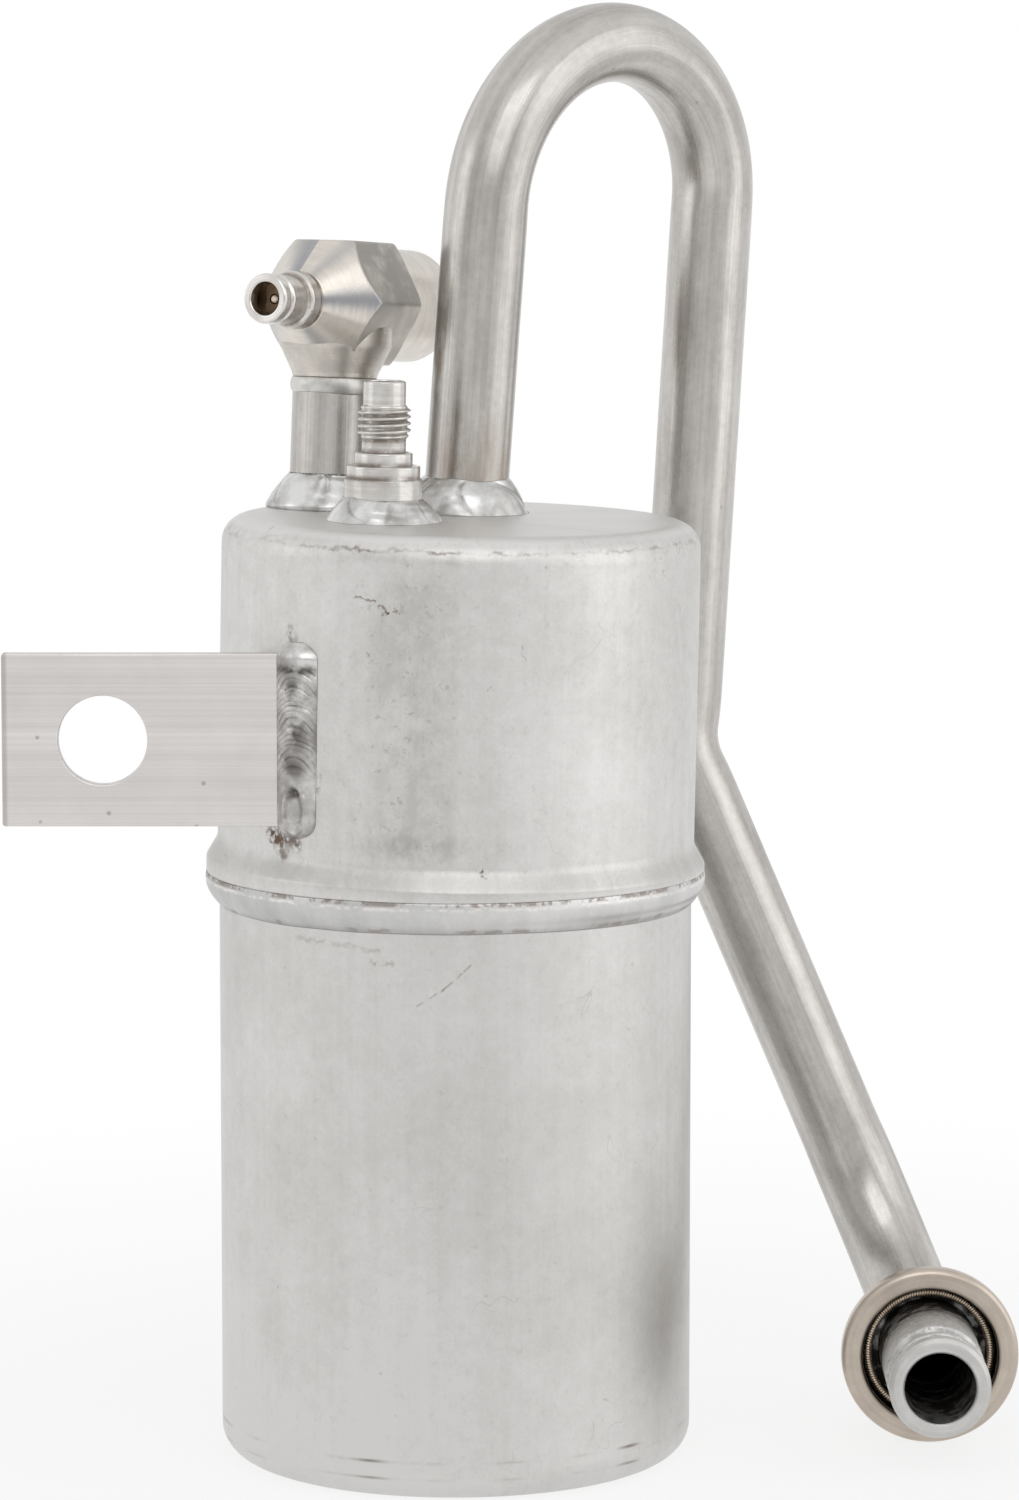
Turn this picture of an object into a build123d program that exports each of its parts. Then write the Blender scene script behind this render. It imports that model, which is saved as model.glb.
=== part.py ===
from build123d import *
import math
import os

# Receiver drier with a drawn two-part can, an inlet block, a switch stub and a bent outlet pipe.
# Millimetres. The origin is the centre of the can's bottom face, and +Z runs up the can.
# +X is toward the outlet side and the strap is on the -X side. The couplings face -Y.

# Lower half of the can, with the level of the seam that the upper half is set out from
can_r = 44.45
can_wall = 2.4
bottom_corner_r = 6.0
seam_z = 111.5
lap_depth = 5.5
lap_clearance = 0.25

# Upper half of the can, with heights above the seam
upper_step = 0.4
upper_h = 66.3
upper_lean = 1.1
top_corner_r = 5.0
bell_wall = 2.2
bell_shoulder_h = 2.1
bell_h = 5.7
bell_bend_r = 3.0
bell_corner_r = 1.2
rim_head_room = 1.6

# Girth bead below the bell
girth_bead_drop = 6.1
girth_bead_proud = 0.25

# Mounting strap, set back from the can's foremost line
strap_width = 31.75
strap_thick = 3.0
strap_set_back = 12.0
strap_reach = 51.9
strap_end_gap = 1.8
strap_mid_h = 28.25
strap_hole_r = 8.15
strap_hole_inset = 18.4
strap_edge = 0.35
strap_corner_r = 0.6

# Beads that hold the strap, set out from where its faces meet the can
front_bead_in = 5.1
front_bead_behind = 3.5
front_bead_r = 7.75
front_bead_over = 2.3
front_bead_drop = 1.85
rear_bead_out = 2.0
rear_bead_behind = 1.95
rear_bead_r = 3.6
rear_bead_short = 1.0
rear_bead_drop = 1.2
bead_ripple_pitch = 1.7
bead_ripple_depth = 0.22

# Tubes
tube_od = 15.875
tube_wall = 1.5
hole_clearance = 0.1

# Inlet riser, leaning away from the port side
riser_foot_x = -23.85
riser_foot_y = 18.7
riser_lean = 4.0
port_heading = 59.0
riser_inside = 9.0
riser_height = 24.5

# Beads on the top
foot_bead_r = 12.2
foot_bead_h = 6.6
foot_lump_r = 2.8
foot_lump_ring = 7.9
foot_lump_h = 1.2
foot_lump_count = 9
stub_bead_r = 10.5
stub_bead_h = 4.3
stub_lump_r = 2.05
stub_lump_ring = 7.2
stub_lump_h = 0.8
stub_lump_count = 11

# Inlet block
block_axis_h = 38.75
hex_flats = 23.3
hex_back = -9.4
cone_front = 13.4
cone_start = 5.0
cone_small_r = 5.5
hub_r = 10.8
hub_back = -25.3
hub_edge = 0.8
line_bore_r = 8.0
line_bore_depth = 13.6
flow_bore_r = 6.3
neck_low_r = 8.0
neck_high_r = 10.7
neck_top_h = 30.2
neck_stub_drop = 8.0
neck_stub_wall = 1.5
joint_clearance = 0.05
braze_r = 8.4
braze_h = 3.0

# Service port on the block
port_mouth = 25.2
port_nose_r = 4.7
port_nose_len = 2.1
port_groove_r = 4.2
port_groove_len = 0.9
port_body_r = 4.6
port_collar_r = 5.5
port_collar_len = 3.6
port_tail_r = 4.0
port_tail_len = 7.4

# Switch stub on the top
stub_x = -13.35
stub_y = -10.2
stub_base_r = 7.25
stub_base_h = 7.95
stub_flange_r = 6.85
stub_flange_h = 10.35
stub_collar_r = 5.4
stub_collar_h = 12.75
stub_relief_r = 4.1
stub_relief_h = 15.35
stub_thread_r = 4.95
stub_thread_h = 21.25
stub_tip_r = 3.95
stub_tip_h = 25.9
stub_tip_edge = 1.2
stub_tail_r = 5.0
stub_tail_drop = 3.4

# Valve cores, the same in both ports, with depths measured from the mouth
core_bore_r = 3.1
core_chamber_r = 2.3
core_passage_r = 1.4
core_head_depth = 3.4
core_step_depth = 7.0
core_seat_depth = 9.5
core_floor_depth = 15.5
core_head_r = 3.02
core_nose_r = 2.25
core_pin_hole_r = 1.0
core_bridge_w = 3.6
core_bridge_h = 2.0
pin_r = 0.75
pin_proud = 0.3
pin_flange_r = 1.7
pin_flange_t = 0.6
pin_guide_len = 2.0
seal_r = 1.85
seal_t = 1.2
seal_gap = 0.05
spring_r = 1.4
spring_wire_r = 0.2
spring_turns = 4.0
spring_gap = 0.03

# Outlet pipe route
outlet_foot_x = 1.74
outlet_foot_y = 14.0
outlet_lean_slope = 0.071
outlet_inside = 17.8
arch_rise = 88.1
arch_near_r = 32.6
arch_far_x = 51.6
arch_far_y = 57.9
knee_x = 43.4
knee_y = 54.0
knee_rise = 110.5
knee_r = 22.0
final_bend_r = 34.0

# Outlet coupling, with its axis along -Y
coupling_x = 90.5
coupling_z = 17.1
mouth_y = -25.0
spigot_r = 9.525
spigot_bore_r = 6.7
spigot_edge = 0.8
end_ring_len = 3.2
oring_groove_r = 7.9
oring_groove_len = 2.7
oring_land_r = 9.3
oring_land_len = 2.6
spigot_shoulder_gap = 2.5
spigot_flange_r = 11.2
spigot_flange_len = 2.0
spigot_tail_r = 10.2
spigot_len = 41.5
spigot_socket_depth = 8.0
spigot_braze_len = 2.0
cage_to_tail = 14.5
cage_len = 12.0
cage_r = 16.9
cage_back_r = 13.6
cage_shoulder = 3.6
cage_lip_r = 13.1
cage_sheet = 0.9
cage_lip_curl = 2.4
cage_gap = 0.1
garter_r = 12.1
garter_wire_r = 0.8
garter_in_cage = 4.2

# Suction tube inside the can
pickup_socket_wall = 1.4
pickup_socket_lap = 10.0
pickup_bottom_z = 22.0
pickup_return_y = -22.0
pickup_soft_bend = 30.0
pickup_bend_above_skirt = 1.0
pickup_end_below_skirt = 1.0

# Cover over the suction tube, hung below the top of the can
dome_gap = 5.05
dome_wall = 1.8
dome_drop = 26.3
dome_rise = 6.0
dome_skirt_h = 6.5
dome_hub_r = 11.5
dome_hub_h = 6.0

# Oil strainer
strainer_r = 8.6
strainer_wall = 1.2
strainer_foot_gap = 1.2
strainer_h = 15.9
strainer_windows = 4
strainer_window_w = 7.0
strainer_window_h = 7.0
mesh_t = 0.4
mesh_gap = 0.1
oil_hole_r = 0.6

# Desiccant bag and its tie
bag_x = 14.2
bag_y = -4.0
bag_r = 14.7
bag_above_bend = 12.0
bag_head_room = 21.0
bag_end_r = 9.0
bag_seam_w = 24.0
bag_seam_t = 1.2
bag_seam_h = 5.0
tie_width = 5.0
tie_thick = 1.1
tie_gap = 0.15

# Spare length of the bars that cut holes and faces
cut_room = 20.0

# Sizes that follow from those above
tube_r = tube_od / 2
tube_bore_r = tube_r - tube_wall
upper_r = can_r + upper_step
lap_r = can_r + lap_clearance
bell_r = lap_r + bell_wall
lower_rim_z = seam_z + lap_depth
bell_shoulder_z = seam_z + bell_shoulder_h
bell_start_z = seam_z + bell_h
top_z = seam_z + upper_h
arch_z = top_z + arch_rise
knee_z = coupling_z + knee_rise
strap_face_y = strap_set_back - upper_r
strap_meet_x = -math.sqrt(upper_r**2 - strap_face_y**2)
strap_left_x = strap_meet_x - strap_reach
strap_right_x = strap_meet_x - strap_end_gap
strap_mid_z = seam_z + strap_mid_h
cage_front = spigot_len - cage_to_tail
spigot_shank_end = cage_front - spigot_shoulder_gap
dome_r = can_r - can_wall - dome_gap
dome_crown_z = top_z - dome_drop
dome_brim_z = dome_crown_z - dome_rise
dome_skirt_z = dome_brim_z - dome_skirt_h
strainer_floor_z = can_wall + strainer_foot_gap
strainer_top_z = strainer_floor_z + strainer_h
bag_low_z = pickup_bottom_z + bag_above_bend
bag_high_z = dome_skirt_z - bag_head_room
PARTS = {}


def keep(name, shape):
    """Take a finished piece into the set that is written out."""
    solids = shape.solids()
    PARTS[name] = solids[0] if len(solids) == 1 else Compound(children=solids)
    return PARTS[name]


def outline(*corners):
    """Closed face from (x, y) or (x, y, corner radius) points."""
    spots = [Vector(c[0], c[1]) for c in corners]
    radii = [c[2] if len(c) == 3 else 0 for c in corners]
    ins, outs, mids = [], [], []
    for i, spot in enumerate(spots):
        back = (spots[i - 1] - spot).normalized()
        ahead = (spots[(i + 1) % len(spots)] - spot).normalized()
        if not radii[i]:
            ins.append(spot)
            outs.append(spot)
            mids.append(None)
            continue
        half = math.radians(back.get_angle(ahead)) / 2
        reach = radii[i] / math.tan(half)
        centre_way = (back + ahead).normalized()
        centre = spot + centre_way * (radii[i] / math.sin(half))
        ins.append(spot + back * reach)
        outs.append(spot + ahead * reach)
        mids.append(centre - centre_way * radii[i])
    edges = []
    for i in range(len(spots)):
        if mids[i] is not None:
            edges.append(ThreePointArc(ins[i], mids[i], outs[i]))
        start, end = outs[i], ins[(i + 1) % len(spots)]
        if (end - start).length > 1e-6:
            edges.append(Line(start, end))
    return make_face(Wire(edges))


def turned(*corners):
    """Solid of revolution about Z from (radius, height) corners."""
    return revolve(Plane.XZ * outline(*corners), Axis.Z)


def rod(radius, low, high):
    """Round bar on Z between two heights."""
    return Pos(0, 0, low) * extrude(Circle(radius), high - low)


def along(path, radius):
    """Round bar that follows a path."""
    start = path.location_at(0)
    return sweep(Plane(start.position, z_dir=path % 0) * Circle(radius), path=path)


def tangent_share(before, here, after):
    """Tangent of half the turn between two straight runs."""
    turn = (here - before).get_angle(after - here)
    return math.tan(math.radians(turn) / 2)


# Frames that the sub-parts are built in
heading = math.radians(port_heading)
lean = math.radians(riser_lean)
port_way = Vector(
    -math.cos(heading) * math.cos(lean), -math.sin(heading) * math.cos(lean), math.sin(lean)
)
riser_way = Vector(
    math.cos(heading) * math.sin(lean), math.sin(heading) * math.sin(lean), math.cos(lean)
)
upper_tilt = math.radians(upper_lean)
upper_way = Vector(math.sin(upper_tilt), 0, math.cos(upper_tilt))


def top_at(x):
    """Height of the leaning top face at an X."""
    return seam_z + (top_z - seam_z - x * math.sin(upper_tilt)) / math.cos(upper_tilt)


def lean_over(shape):
    """Lean a piece of the upper half about the centre of the seam."""
    return Pos(0, 0, seam_z) * Rot(0, upper_lean, 0) * Pos(0, 0, -seam_z) * shape


riser_frame = Plane(
    (riser_foot_x, riser_foot_y, top_at(riser_foot_x)), x_dir=port_way, z_dir=riser_way
)
block_frame = Pos(0, 0, block_axis_h) * Rot(0, 90, 0)
stub_frame = Plane(
    (stub_x, stub_y, top_at(stub_x)), x_dir=upper_way.cross(Vector(0, -1, 0)), z_dir=upper_way
)
coupling_frame = Plane((coupling_x, mouth_y, coupling_z), x_dir=(1, 0, 0), z_dir=(0, 1, 0))
port_mouth_frame = riser_frame.location * block_frame * Pos(0, 0, port_mouth) * Rot(180, 0, 0)
stub_mouth_frame = stub_frame.location * Pos(0, 0, stub_tip_h) * Rot(180, 0, 0)


# Outlet pipe: up from the top, over the arch, down the far side, out and forward
def outlet_point(height):
    """Point on the outlet's leaning leg at a height."""
    return Vector(outlet_foot_x + (height - top_z) * outlet_lean_slope, outlet_foot_y, height)


def outlet_route():
    """Centre line of the outlet pipe."""
    low = outlet_point(top_z - outlet_inside)
    near = outlet_point(arch_z)
    far = Vector(arch_far_x, arch_far_y, arch_z)
    knee = Vector(knee_x, knee_y, knee_z)
    end_y = mouth_y + spigot_len - spigot_socket_depth
    corner_y = mouth_y + spigot_len + spigot_braze_len + final_bend_r
    corner = Vector(coupling_x, corner_y, coupling_z)
    end = Vector(coupling_x, end_y, coupling_z)
    room = (far - near).length - 0.05 - arch_near_r * tangent_share(low, near, far)
    arch_far_r = room / tangent_share(near, far, knee)
    return FilletPolyline(
        low, near, far, knee, corner, end, radius=[arch_near_r, arch_far_r, knee_r, final_bend_r]
    )


outlet_path = outlet_route()
outlet_solid = along(outlet_path, tube_r)
outlet_pipe = keep("outlet_pipe", outlet_solid - along(outlet_path, tube_bore_r))

# A straight bar on the leaning leg makes the clearances and the beads
leg_low = outlet_point(dome_skirt_z - cut_room)
leg_high = outlet_point(top_z + 2 * cut_room)
leg_plane = Plane(leg_low, z_dir=leg_high - leg_low)
leg_len = (leg_high - leg_low).length


def leg_bar(radius):
    """Straight bar on the leaning leg."""
    return leg_plane * extrude(Circle(radius), leg_len)


# Inlet riser
riser_bar = riser_frame * rod(tube_r, -riser_inside, riser_height)
keep("inlet_riser", riser_bar - riser_frame * rod(tube_bore_r, -riser_inside, riser_height))


# Can halves
keep("lower_shell", turned(
    (0, 0),
    (can_r, 0, bottom_corner_r),
    (can_r, lower_rim_z),
    (can_r - can_wall, lower_rim_z),
    (can_r - can_wall, can_wall, bottom_corner_r - can_wall),
    (0, can_wall),
))

lean_room = 2 * bell_r * math.sin(upper_tilt)
lap_top = lower_rim_z + rim_head_room
lap_slope_h = (bell_start_z - bell_shoulder_z) * (lap_r - (upper_r - can_wall)) / (bell_r - upper_r)
upper_shell = turned(
    (0, top_z),
    (upper_r, top_z, top_corner_r),
    (upper_r, bell_start_z, bell_bend_r),
    (bell_r, bell_shoulder_z, bell_corner_r),
    (bell_r, seam_z - lean_room),
    (lap_r, seam_z - lean_room),
    (lap_r, lap_top),
    (upper_r - can_wall, lap_top + lap_slope_h),
    (upper_r - can_wall, top_z - can_wall, top_corner_r - can_wall),
    (0, top_z - can_wall),
)
upper_shell = lean_over(upper_shell) - rod(bell_r + cut_room, seam_z - cut_room, seam_z)
upper_shell -= leg_bar(tube_r + hole_clearance)
upper_shell -= riser_frame * rod(tube_r + hole_clearance, -cut_room, cut_room)
upper_shell -= stub_frame * rod(stub_tail_r + hole_clearance, -cut_room, cut_room)
keep("upper_shell", upper_shell)

girth_low = seam_z - girth_bead_drop
keep("girth_weld", turned(
    (can_r, seam_z),
    (bell_r + girth_bead_proud * 0.4, seam_z),
    (bell_r + girth_bead_proud, seam_z - girth_bead_drop * 0.28, 1.0),
    (bell_r - 0.5, seam_z - girth_bead_drop * 0.6, 1.5),
    (can_r + 0.75, girth_low + 1.1, 0.8),
    (can_r, girth_low),
))

# Mounting strap
strap_len = strap_right_x - strap_left_x
strap_mid_y = strap_face_y + strap_thick / 2
strap = Pos(strap_left_x + strap_len / 2, strap_mid_y, strap_mid_z) * Box(
    strap_len, strap_thick, strap_width
)
strap = chamfer(strap.edges().filter_by(Axis.X), strap_edge)
strap = fillet(strap.edges().filter_by(Axis.Y).group_by(Axis.X)[0], strap_corner_r)
strap -= Pos(strap_left_x + strap_hole_inset, strap_mid_y, strap_mid_z) * Rot(90, 0, 0) * Cylinder(
    strap_hole_r, strap_thick * 3
)
upper_solid = lean_over(rod(upper_r, seam_z, top_z - top_corner_r))
strap -= upper_solid
strap = keep("mounting_strap", strap)


def rippled_bar(radius, length, drop):
    """Upright bar with a stack of shallow ripples, drawn in at both ends."""
    count = max(3, round(length / bead_ripple_pitch))
    step = length / count
    corners = [(0, -length / 2), (radius - drop, -length / 2)]
    for i in range(count):
        low = -length / 2 + i * step
        share = abs(2 * (i + 0.5) / count - 1)
        full = radius - drop * max(0.0, share - 0.72) / 0.28 * 0.6
        corners.append((full - bead_ripple_depth, low + 0.12 * step))
        corners.append((full, low + 0.5 * step, 0.5 * step))
        corners.append((full - bead_ripple_depth, low + 0.88 * step))
    corners += [(radius - drop, length / 2), (0, length / 2)]
    return turned(*corners)


bead_len = strap_width + 2 * front_bead_over
strap_back_y = strap_face_y + strap_thick
strap_block = Pos(strap_left_x + strap_len / 2, strap_mid_y, strap_mid_z) * Box(
    strap_len, strap_thick, bead_len + cut_room
)
front_bead_spot = (strap_meet_x + front_bead_in, strap_face_y + front_bead_behind, strap_mid_z)
front_bead = Pos(*front_bead_spot) * rippled_bar(front_bead_r, bead_len, front_bead_drop)
bead_keep = Pos(front_bead_spot[0], strap_back_y - front_bead_r, strap_mid_z) * Box(
    4 * front_bead_r, 2 * front_bead_r, bead_len + cut_room
)
front_bead = (front_bead & bead_keep) - upper_solid - strap
front_bead = max(front_bead.solids(), key=lambda s: s.volume)
keep("strap_weld_front", front_bead)

back_meet_x = -math.sqrt(upper_r**2 - strap_back_y**2)
rear_bead = Pos(back_meet_x - rear_bead_out, strap_back_y + rear_bead_behind, strap_mid_z) * rippled_bar(
    rear_bead_r, strap_width - 2 * rear_bead_short, rear_bead_drop
)
rear_bead = rear_bead - upper_solid - strap_block
rear_bead = max(rear_bead.solids(), key=lambda s: s.volume)
keep("strap_weld_rear", rear_bead)


# Beads at the feet of the tubes and of the stub
def foot_bead(frame, toe_r, height, side_r, lump_r, lump_ring, lump_h, count, bar):
    """Bead of overlapping puddles round a foot, cut flat by the top of the can."""
    flare = toe_r - side_r
    body = turned(
        (0, -2),
        (toe_r, -2),
        (toe_r, 0.25),
        (side_r + flare * 0.52, height * 0.34, 2.0),
        (side_r + flare * 0.12, height * 0.8, 2.0),
        (side_r - 0.3, height),
        (0, height),
    )
    for i in range(count):
        turn = 360 * (i + 0.5) / count
        body += Rot(0, 0, turn) * Pos(lump_ring, 0, lump_h) * Sphere(lump_r)
    bead = frame * body - bar - lean_over(rod(bell_r, top_z - cut_room, top_z))
    return max(bead.solids(), key=lambda s: s.volume)


foot_plane = Plane(outlet_point(top_at(outlet_foot_x)), z_dir=leg_high - leg_low)
keep("riser_weld", foot_bead(
    riser_frame, foot_bead_r, foot_bead_h, tube_r, foot_lump_r, foot_lump_ring, foot_lump_h,
    foot_lump_count,
    riser_frame * rod(tube_r, -cut_room, riser_height),
))
keep("outlet_weld", foot_bead(
    foot_plane, foot_bead_r, foot_bead_h, tube_r, foot_lump_r, foot_lump_ring, foot_lump_h,
    foot_lump_count,
    leg_bar(tube_r),
))
keep("switch_port_weld", foot_bead(
    stub_frame, stub_bead_r, stub_bead_h, stub_base_r, stub_lump_r, stub_lump_ring, stub_lump_h,
    stub_lump_count, stub_frame * rod(stub_base_r, -cut_room, stub_base_h),
))

# Inlet block: hexagon bar with a coned front, round hub behind and a neck below
hex_corner_r = hex_flats / math.sqrt(3)
hex_bar = Pos(0, 0, hex_back) * extrude(
    RegularPolygon(hex_corner_r, 6, rotation=30), cone_front - hex_back
)
cone_cut = turned(
    (0, hex_back),
    (hex_corner_r - 0.9, hex_back),
    (hex_corner_r + 0.05, hex_back + 0.6),
    (hex_corner_r + 0.05, cone_start),
    (cone_small_r, cone_front),
    (0, cone_front),
)
block = (hex_bar & cone_cut) + turned(
    (0, hub_back),
    (hub_r - hub_edge, hub_back),
    (hub_r, hub_back + hub_edge),
    (hub_r, hex_back + 1),
    (0, hex_back + 1),
)
block = block_frame * block
stub_r = tube_bore_r - joint_clearance
block += turned(
    (0, riser_height - neck_stub_drop),
    (stub_r, riser_height - neck_stub_drop),
    (stub_r, riser_height),
    (neck_low_r, riser_height),
    (neck_high_r, neck_top_h),
    (0, neck_top_h),
)
block -= block_frame * rod(line_bore_r, hub_back - 1, hub_back + line_bore_depth)
block -= block_frame * rod(flow_bore_r, hub_back, 0)
block -= block_frame * rod(port_tail_r + joint_clearance, 0, cone_front + 1)
block -= rod(stub_r - neck_stub_wall, riser_height - neck_stub_drop - 1, block_axis_h)
keep("inlet_block", riser_frame * block)

braze_mid = riser_height - braze_h / 2
keep("block_braze", riser_frame * (turned(
    (tube_r, riser_height - braze_h),
    (braze_r - 0.35, riser_height - braze_h * 0.75, 0.3),
    (braze_r, braze_mid + 0.3, 0.6),
    (neck_low_r + 0.2, riser_height),
    (tube_r, riser_height),
)))


# Valve cores, drawn with their mouth at zero and depth along +Z
def core_cavity():
    """Space that a port leaves for its valve core."""
    return (
        rod(core_bore_r, -1, core_seat_depth)
        + rod(core_chamber_r, core_seat_depth - 0.5, core_floor_depth)
        + rod(core_passage_r, core_floor_depth - 0.5, core_floor_depth + 40)
    )


def core_body():
    """Screwed plug with a bridge across its head and a hole for the pin."""
    head_end = core_head_depth + core_bridge_h
    head = rod(core_head_r, core_head_depth, head_end)
    bridge = Pos(0, 0, core_head_depth + core_bridge_h / 2) * Box(
        core_head_r * 3, core_bridge_w, core_bridge_h
    )
    plug = (head & bridge) + turned(
        (0, head_end),
        (core_head_r, head_end),
        (core_head_r, core_step_depth),
        (core_nose_r, core_step_depth + 0.6),
        (core_nose_r, core_seat_depth),
        (0, core_seat_depth),
    )
    return plug - rod(core_pin_hole_r, core_head_depth - 1, core_seat_depth + 1)


seal_top = core_seat_depth + seal_gap
seal_bottom = seal_top + seal_t
flange_bottom = seal_bottom + pin_flange_t


def core_pin():
    """Pin with the flange that carries the seal and takes the spring."""
    tip = core_head_depth - pin_proud
    return turned(
        (0, tip),
        (pin_r - 0.25, tip),
        (pin_r, tip + 0.25),
        (pin_r, seal_bottom),
        (pin_flange_r, seal_bottom),
        (pin_flange_r, flange_bottom),
        (pin_r, flange_bottom),
        (pin_r, flange_bottom + pin_guide_len),
        (0, flange_bottom + pin_guide_len),
    )


def core_spring():
    """Coil between the pin's flange and the floor of the chamber."""
    low = flange_bottom + spring_wire_r + spring_gap
    high = core_floor_depth - spring_wire_r - spring_gap
    coil = Helix((high - low) / spring_turns, high - low, spring_r, center=(0, 0, low))
    start = Plane(coil @ 0, z_dir=coil % 0)
    return sweep(start * Circle(spring_wire_r), path=coil, is_frenet=True)


def put_core(name, frame):
    """Set the four pieces of a valve core in a port."""
    keep(name + "_core_body", frame * core_body())
    keep(name + "_core_pin", frame * core_pin())
    keep(name + "_core_seal", frame * (
        rod(seal_r, seal_top, seal_bottom) - rod(pin_r, seal_top - 1, seal_bottom + 1)
    ))
    keep(name + "_core_spring", frame * core_spring())


put_core("service", port_mouth_frame)
put_core("switch", stub_mouth_frame)

# Service port: nose, groove, body, collar and the tail that sits in the block
nose_back = port_mouth - port_nose_len
groove_back = nose_back - port_groove_len
collar_front = cone_front + port_collar_len
service_port = turned(
    (0, port_mouth),
    (port_nose_r - 0.5, port_mouth),
    (port_nose_r, port_mouth - 0.5),
    (port_nose_r, nose_back),
    (port_groove_r, nose_back),
    (port_groove_r, groove_back),
    (port_body_r, groove_back),
    (port_body_r, collar_front, 0.3),
    (port_collar_r - 0.4, collar_front),
    (port_collar_r, collar_front - 0.5),
    (port_collar_r, cone_front + 0.5),
    (port_collar_r - 0.5, cone_front),
    (port_tail_r, cone_front),
    (port_tail_r, cone_front - port_tail_len),
    (0, cone_front - port_tail_len),
)
service_port = riser_frame.location * block_frame * service_port
keep("service_port", service_port - port_mouth_frame * core_cavity())

# Switch stub
switch_port = turned(
    (0, -stub_tail_drop),
    (stub_tail_r, -stub_tail_drop),
    (stub_tail_r, 0),
    (stub_base_r, 0),
    (stub_base_r, stub_base_h - 0.5),
    (stub_base_r - 0.3, stub_base_h),
    (stub_flange_r, stub_base_h),
    (stub_flange_r, stub_flange_h - 0.3),
    (stub_flange_r - 0.3, stub_flange_h),
    (stub_collar_r, stub_flange_h),
    (stub_collar_r, stub_collar_h - 0.3),
    (stub_collar_r - 0.3, stub_collar_h),
    (stub_relief_r, stub_collar_h),
    (stub_relief_r, stub_relief_h),
    (stub_thread_r, stub_relief_h + 0.5),
    (stub_thread_r, stub_thread_h - 0.5),
    (stub_tip_r, stub_thread_h),
    (stub_tip_r, stub_tip_h, stub_tip_edge),
    (0, stub_tip_h),
)
switch_port = stub_frame * switch_port - stub_mouth_frame * core_cavity()
keep("switch_port", switch_port)

# Outlet coupling, drawn with its mouth at zero and +Z back along the pipe
ring_end = end_ring_len
groove_1 = ring_end + oring_groove_len
land_end = groove_1 + oring_land_len
groove_2 = land_end + oring_groove_len
cage_back = cage_front + cage_len
flange_end = cage_back - cage_sheet - joint_clearance
flange_start = flange_end - spigot_flange_len
socket_r = tube_r + joint_clearance
spigot = turned(
    (spigot_bore_r, 0.4),
    (spigot_bore_r + 0.4, 0),
    (spigot_r - spigot_edge, 0),
    (spigot_r, spigot_edge),
    (spigot_r, ring_end),
    (oring_groove_r, ring_end, 0.3),
    (oring_groove_r, groove_1, 0.3),
    (oring_land_r, groove_1),
    (oring_land_r, land_end),
    (oring_groove_r, land_end, 0.3),
    (oring_groove_r, groove_2, 0.3),
    (spigot_r, groove_2),
    (spigot_r, spigot_shank_end),
    (spigot_tail_r, spigot_shank_end),
    (spigot_tail_r, flange_start),
    (spigot_flange_r, flange_start),
    (spigot_flange_r, flange_end),
    (spigot_tail_r, flange_end),
    (spigot_tail_r, spigot_len),
    (socket_r, spigot_len),
    (socket_r, spigot_len - spigot_socket_depth),
    (spigot_bore_r, spigot_len - spigot_socket_depth),
)
keep("outlet_spigot", coupling_frame * spigot)

keep("spigot_braze", coupling_frame * (turned(
    (tube_r, spigot_len),
    (spigot_tail_r - 0.3, spigot_len),
    (tube_r + 0.7, spigot_len + spigot_braze_len * 0.5, 0.8),
    (tube_r, spigot_len + spigot_braze_len),
)))

lip_bend = cage_sheet * 2
cage = turned(
    (spigot_tail_r + cage_gap, cage_back - cage_sheet),
    (cage_back_r - cage_sheet, cage_back - cage_sheet, 1.2),
    (cage_r - cage_sheet, cage_front + cage_shoulder, 1.2),
    (cage_r - cage_sheet, cage_front + cage_sheet, lip_bend - cage_sheet),
    (cage_lip_r + cage_sheet, cage_front + cage_sheet, lip_bend - cage_sheet),
    (cage_lip_r + cage_sheet, cage_front + cage_lip_curl),
    (cage_lip_r, cage_front + cage_lip_curl),
    (cage_lip_r, cage_front, lip_bend),
    (cage_r, cage_front, lip_bend),
    (cage_r, cage_front + cage_shoulder, 1.2),
    (cage_back_r, cage_back, 1.2 + cage_sheet),
    (spigot_tail_r + cage_gap, cage_back),
)
keep("outlet_cage", coupling_frame * cage)
garter_spring = Pos(0, 0, cage_front + garter_in_cage) * Torus(garter_r, garter_wire_r)
keep("outlet_garter_spring", coupling_frame * garter_spring)

# Suction tube inside the can: socket on the outlet, long leg, U bend, open short leg
socket_top = outlet_point(top_z - outlet_inside + pickup_socket_lap)
pickup_start = outlet_point(top_z - outlet_inside - 1.0)
turn_point = outlet_point(dome_skirt_z + pickup_bend_above_skirt)
pickup_x = turn_point.X
u_span = outlet_foot_y - pickup_return_y
u_low_a = Vector(pickup_x, outlet_foot_y, pickup_bottom_z)
u_low_b = Vector(pickup_x, pickup_return_y, pickup_bottom_z)
u_top_b = Vector(pickup_x, pickup_return_y, dome_skirt_z - pickup_end_below_skirt)
u_r = u_span / 2 - 0.02
pickup_path = FilletPolyline(
    pickup_start, turn_point, u_low_a, u_low_b, u_top_b, radius=[pickup_soft_bend, u_r, u_r]
)
socket_plane = Plane(pickup_start, z_dir=socket_top - pickup_start)
socket_h = (socket_top - pickup_start).length
pickup_outer = along(pickup_path, tube_r)
pickup = pickup_outer + socket_plane * turned(
    (0, -2.0),
    (tube_r, -2.0),
    (tube_r + pickup_socket_wall, 0.5),
    (tube_r + pickup_socket_wall, socket_h),
    (0, socket_h),
)
pickup -= along(pickup_path, tube_bore_r)
pickup -= socket_plane * rod(tube_r + joint_clearance, 1.0, socket_h + 1)
u_mid_y = (outlet_foot_y + pickup_return_y) / 2
pickup -= Pos(pickup_x, u_mid_y, pickup_bottom_z - tube_r) * Cylinder(oil_hole_r, 6)
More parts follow.
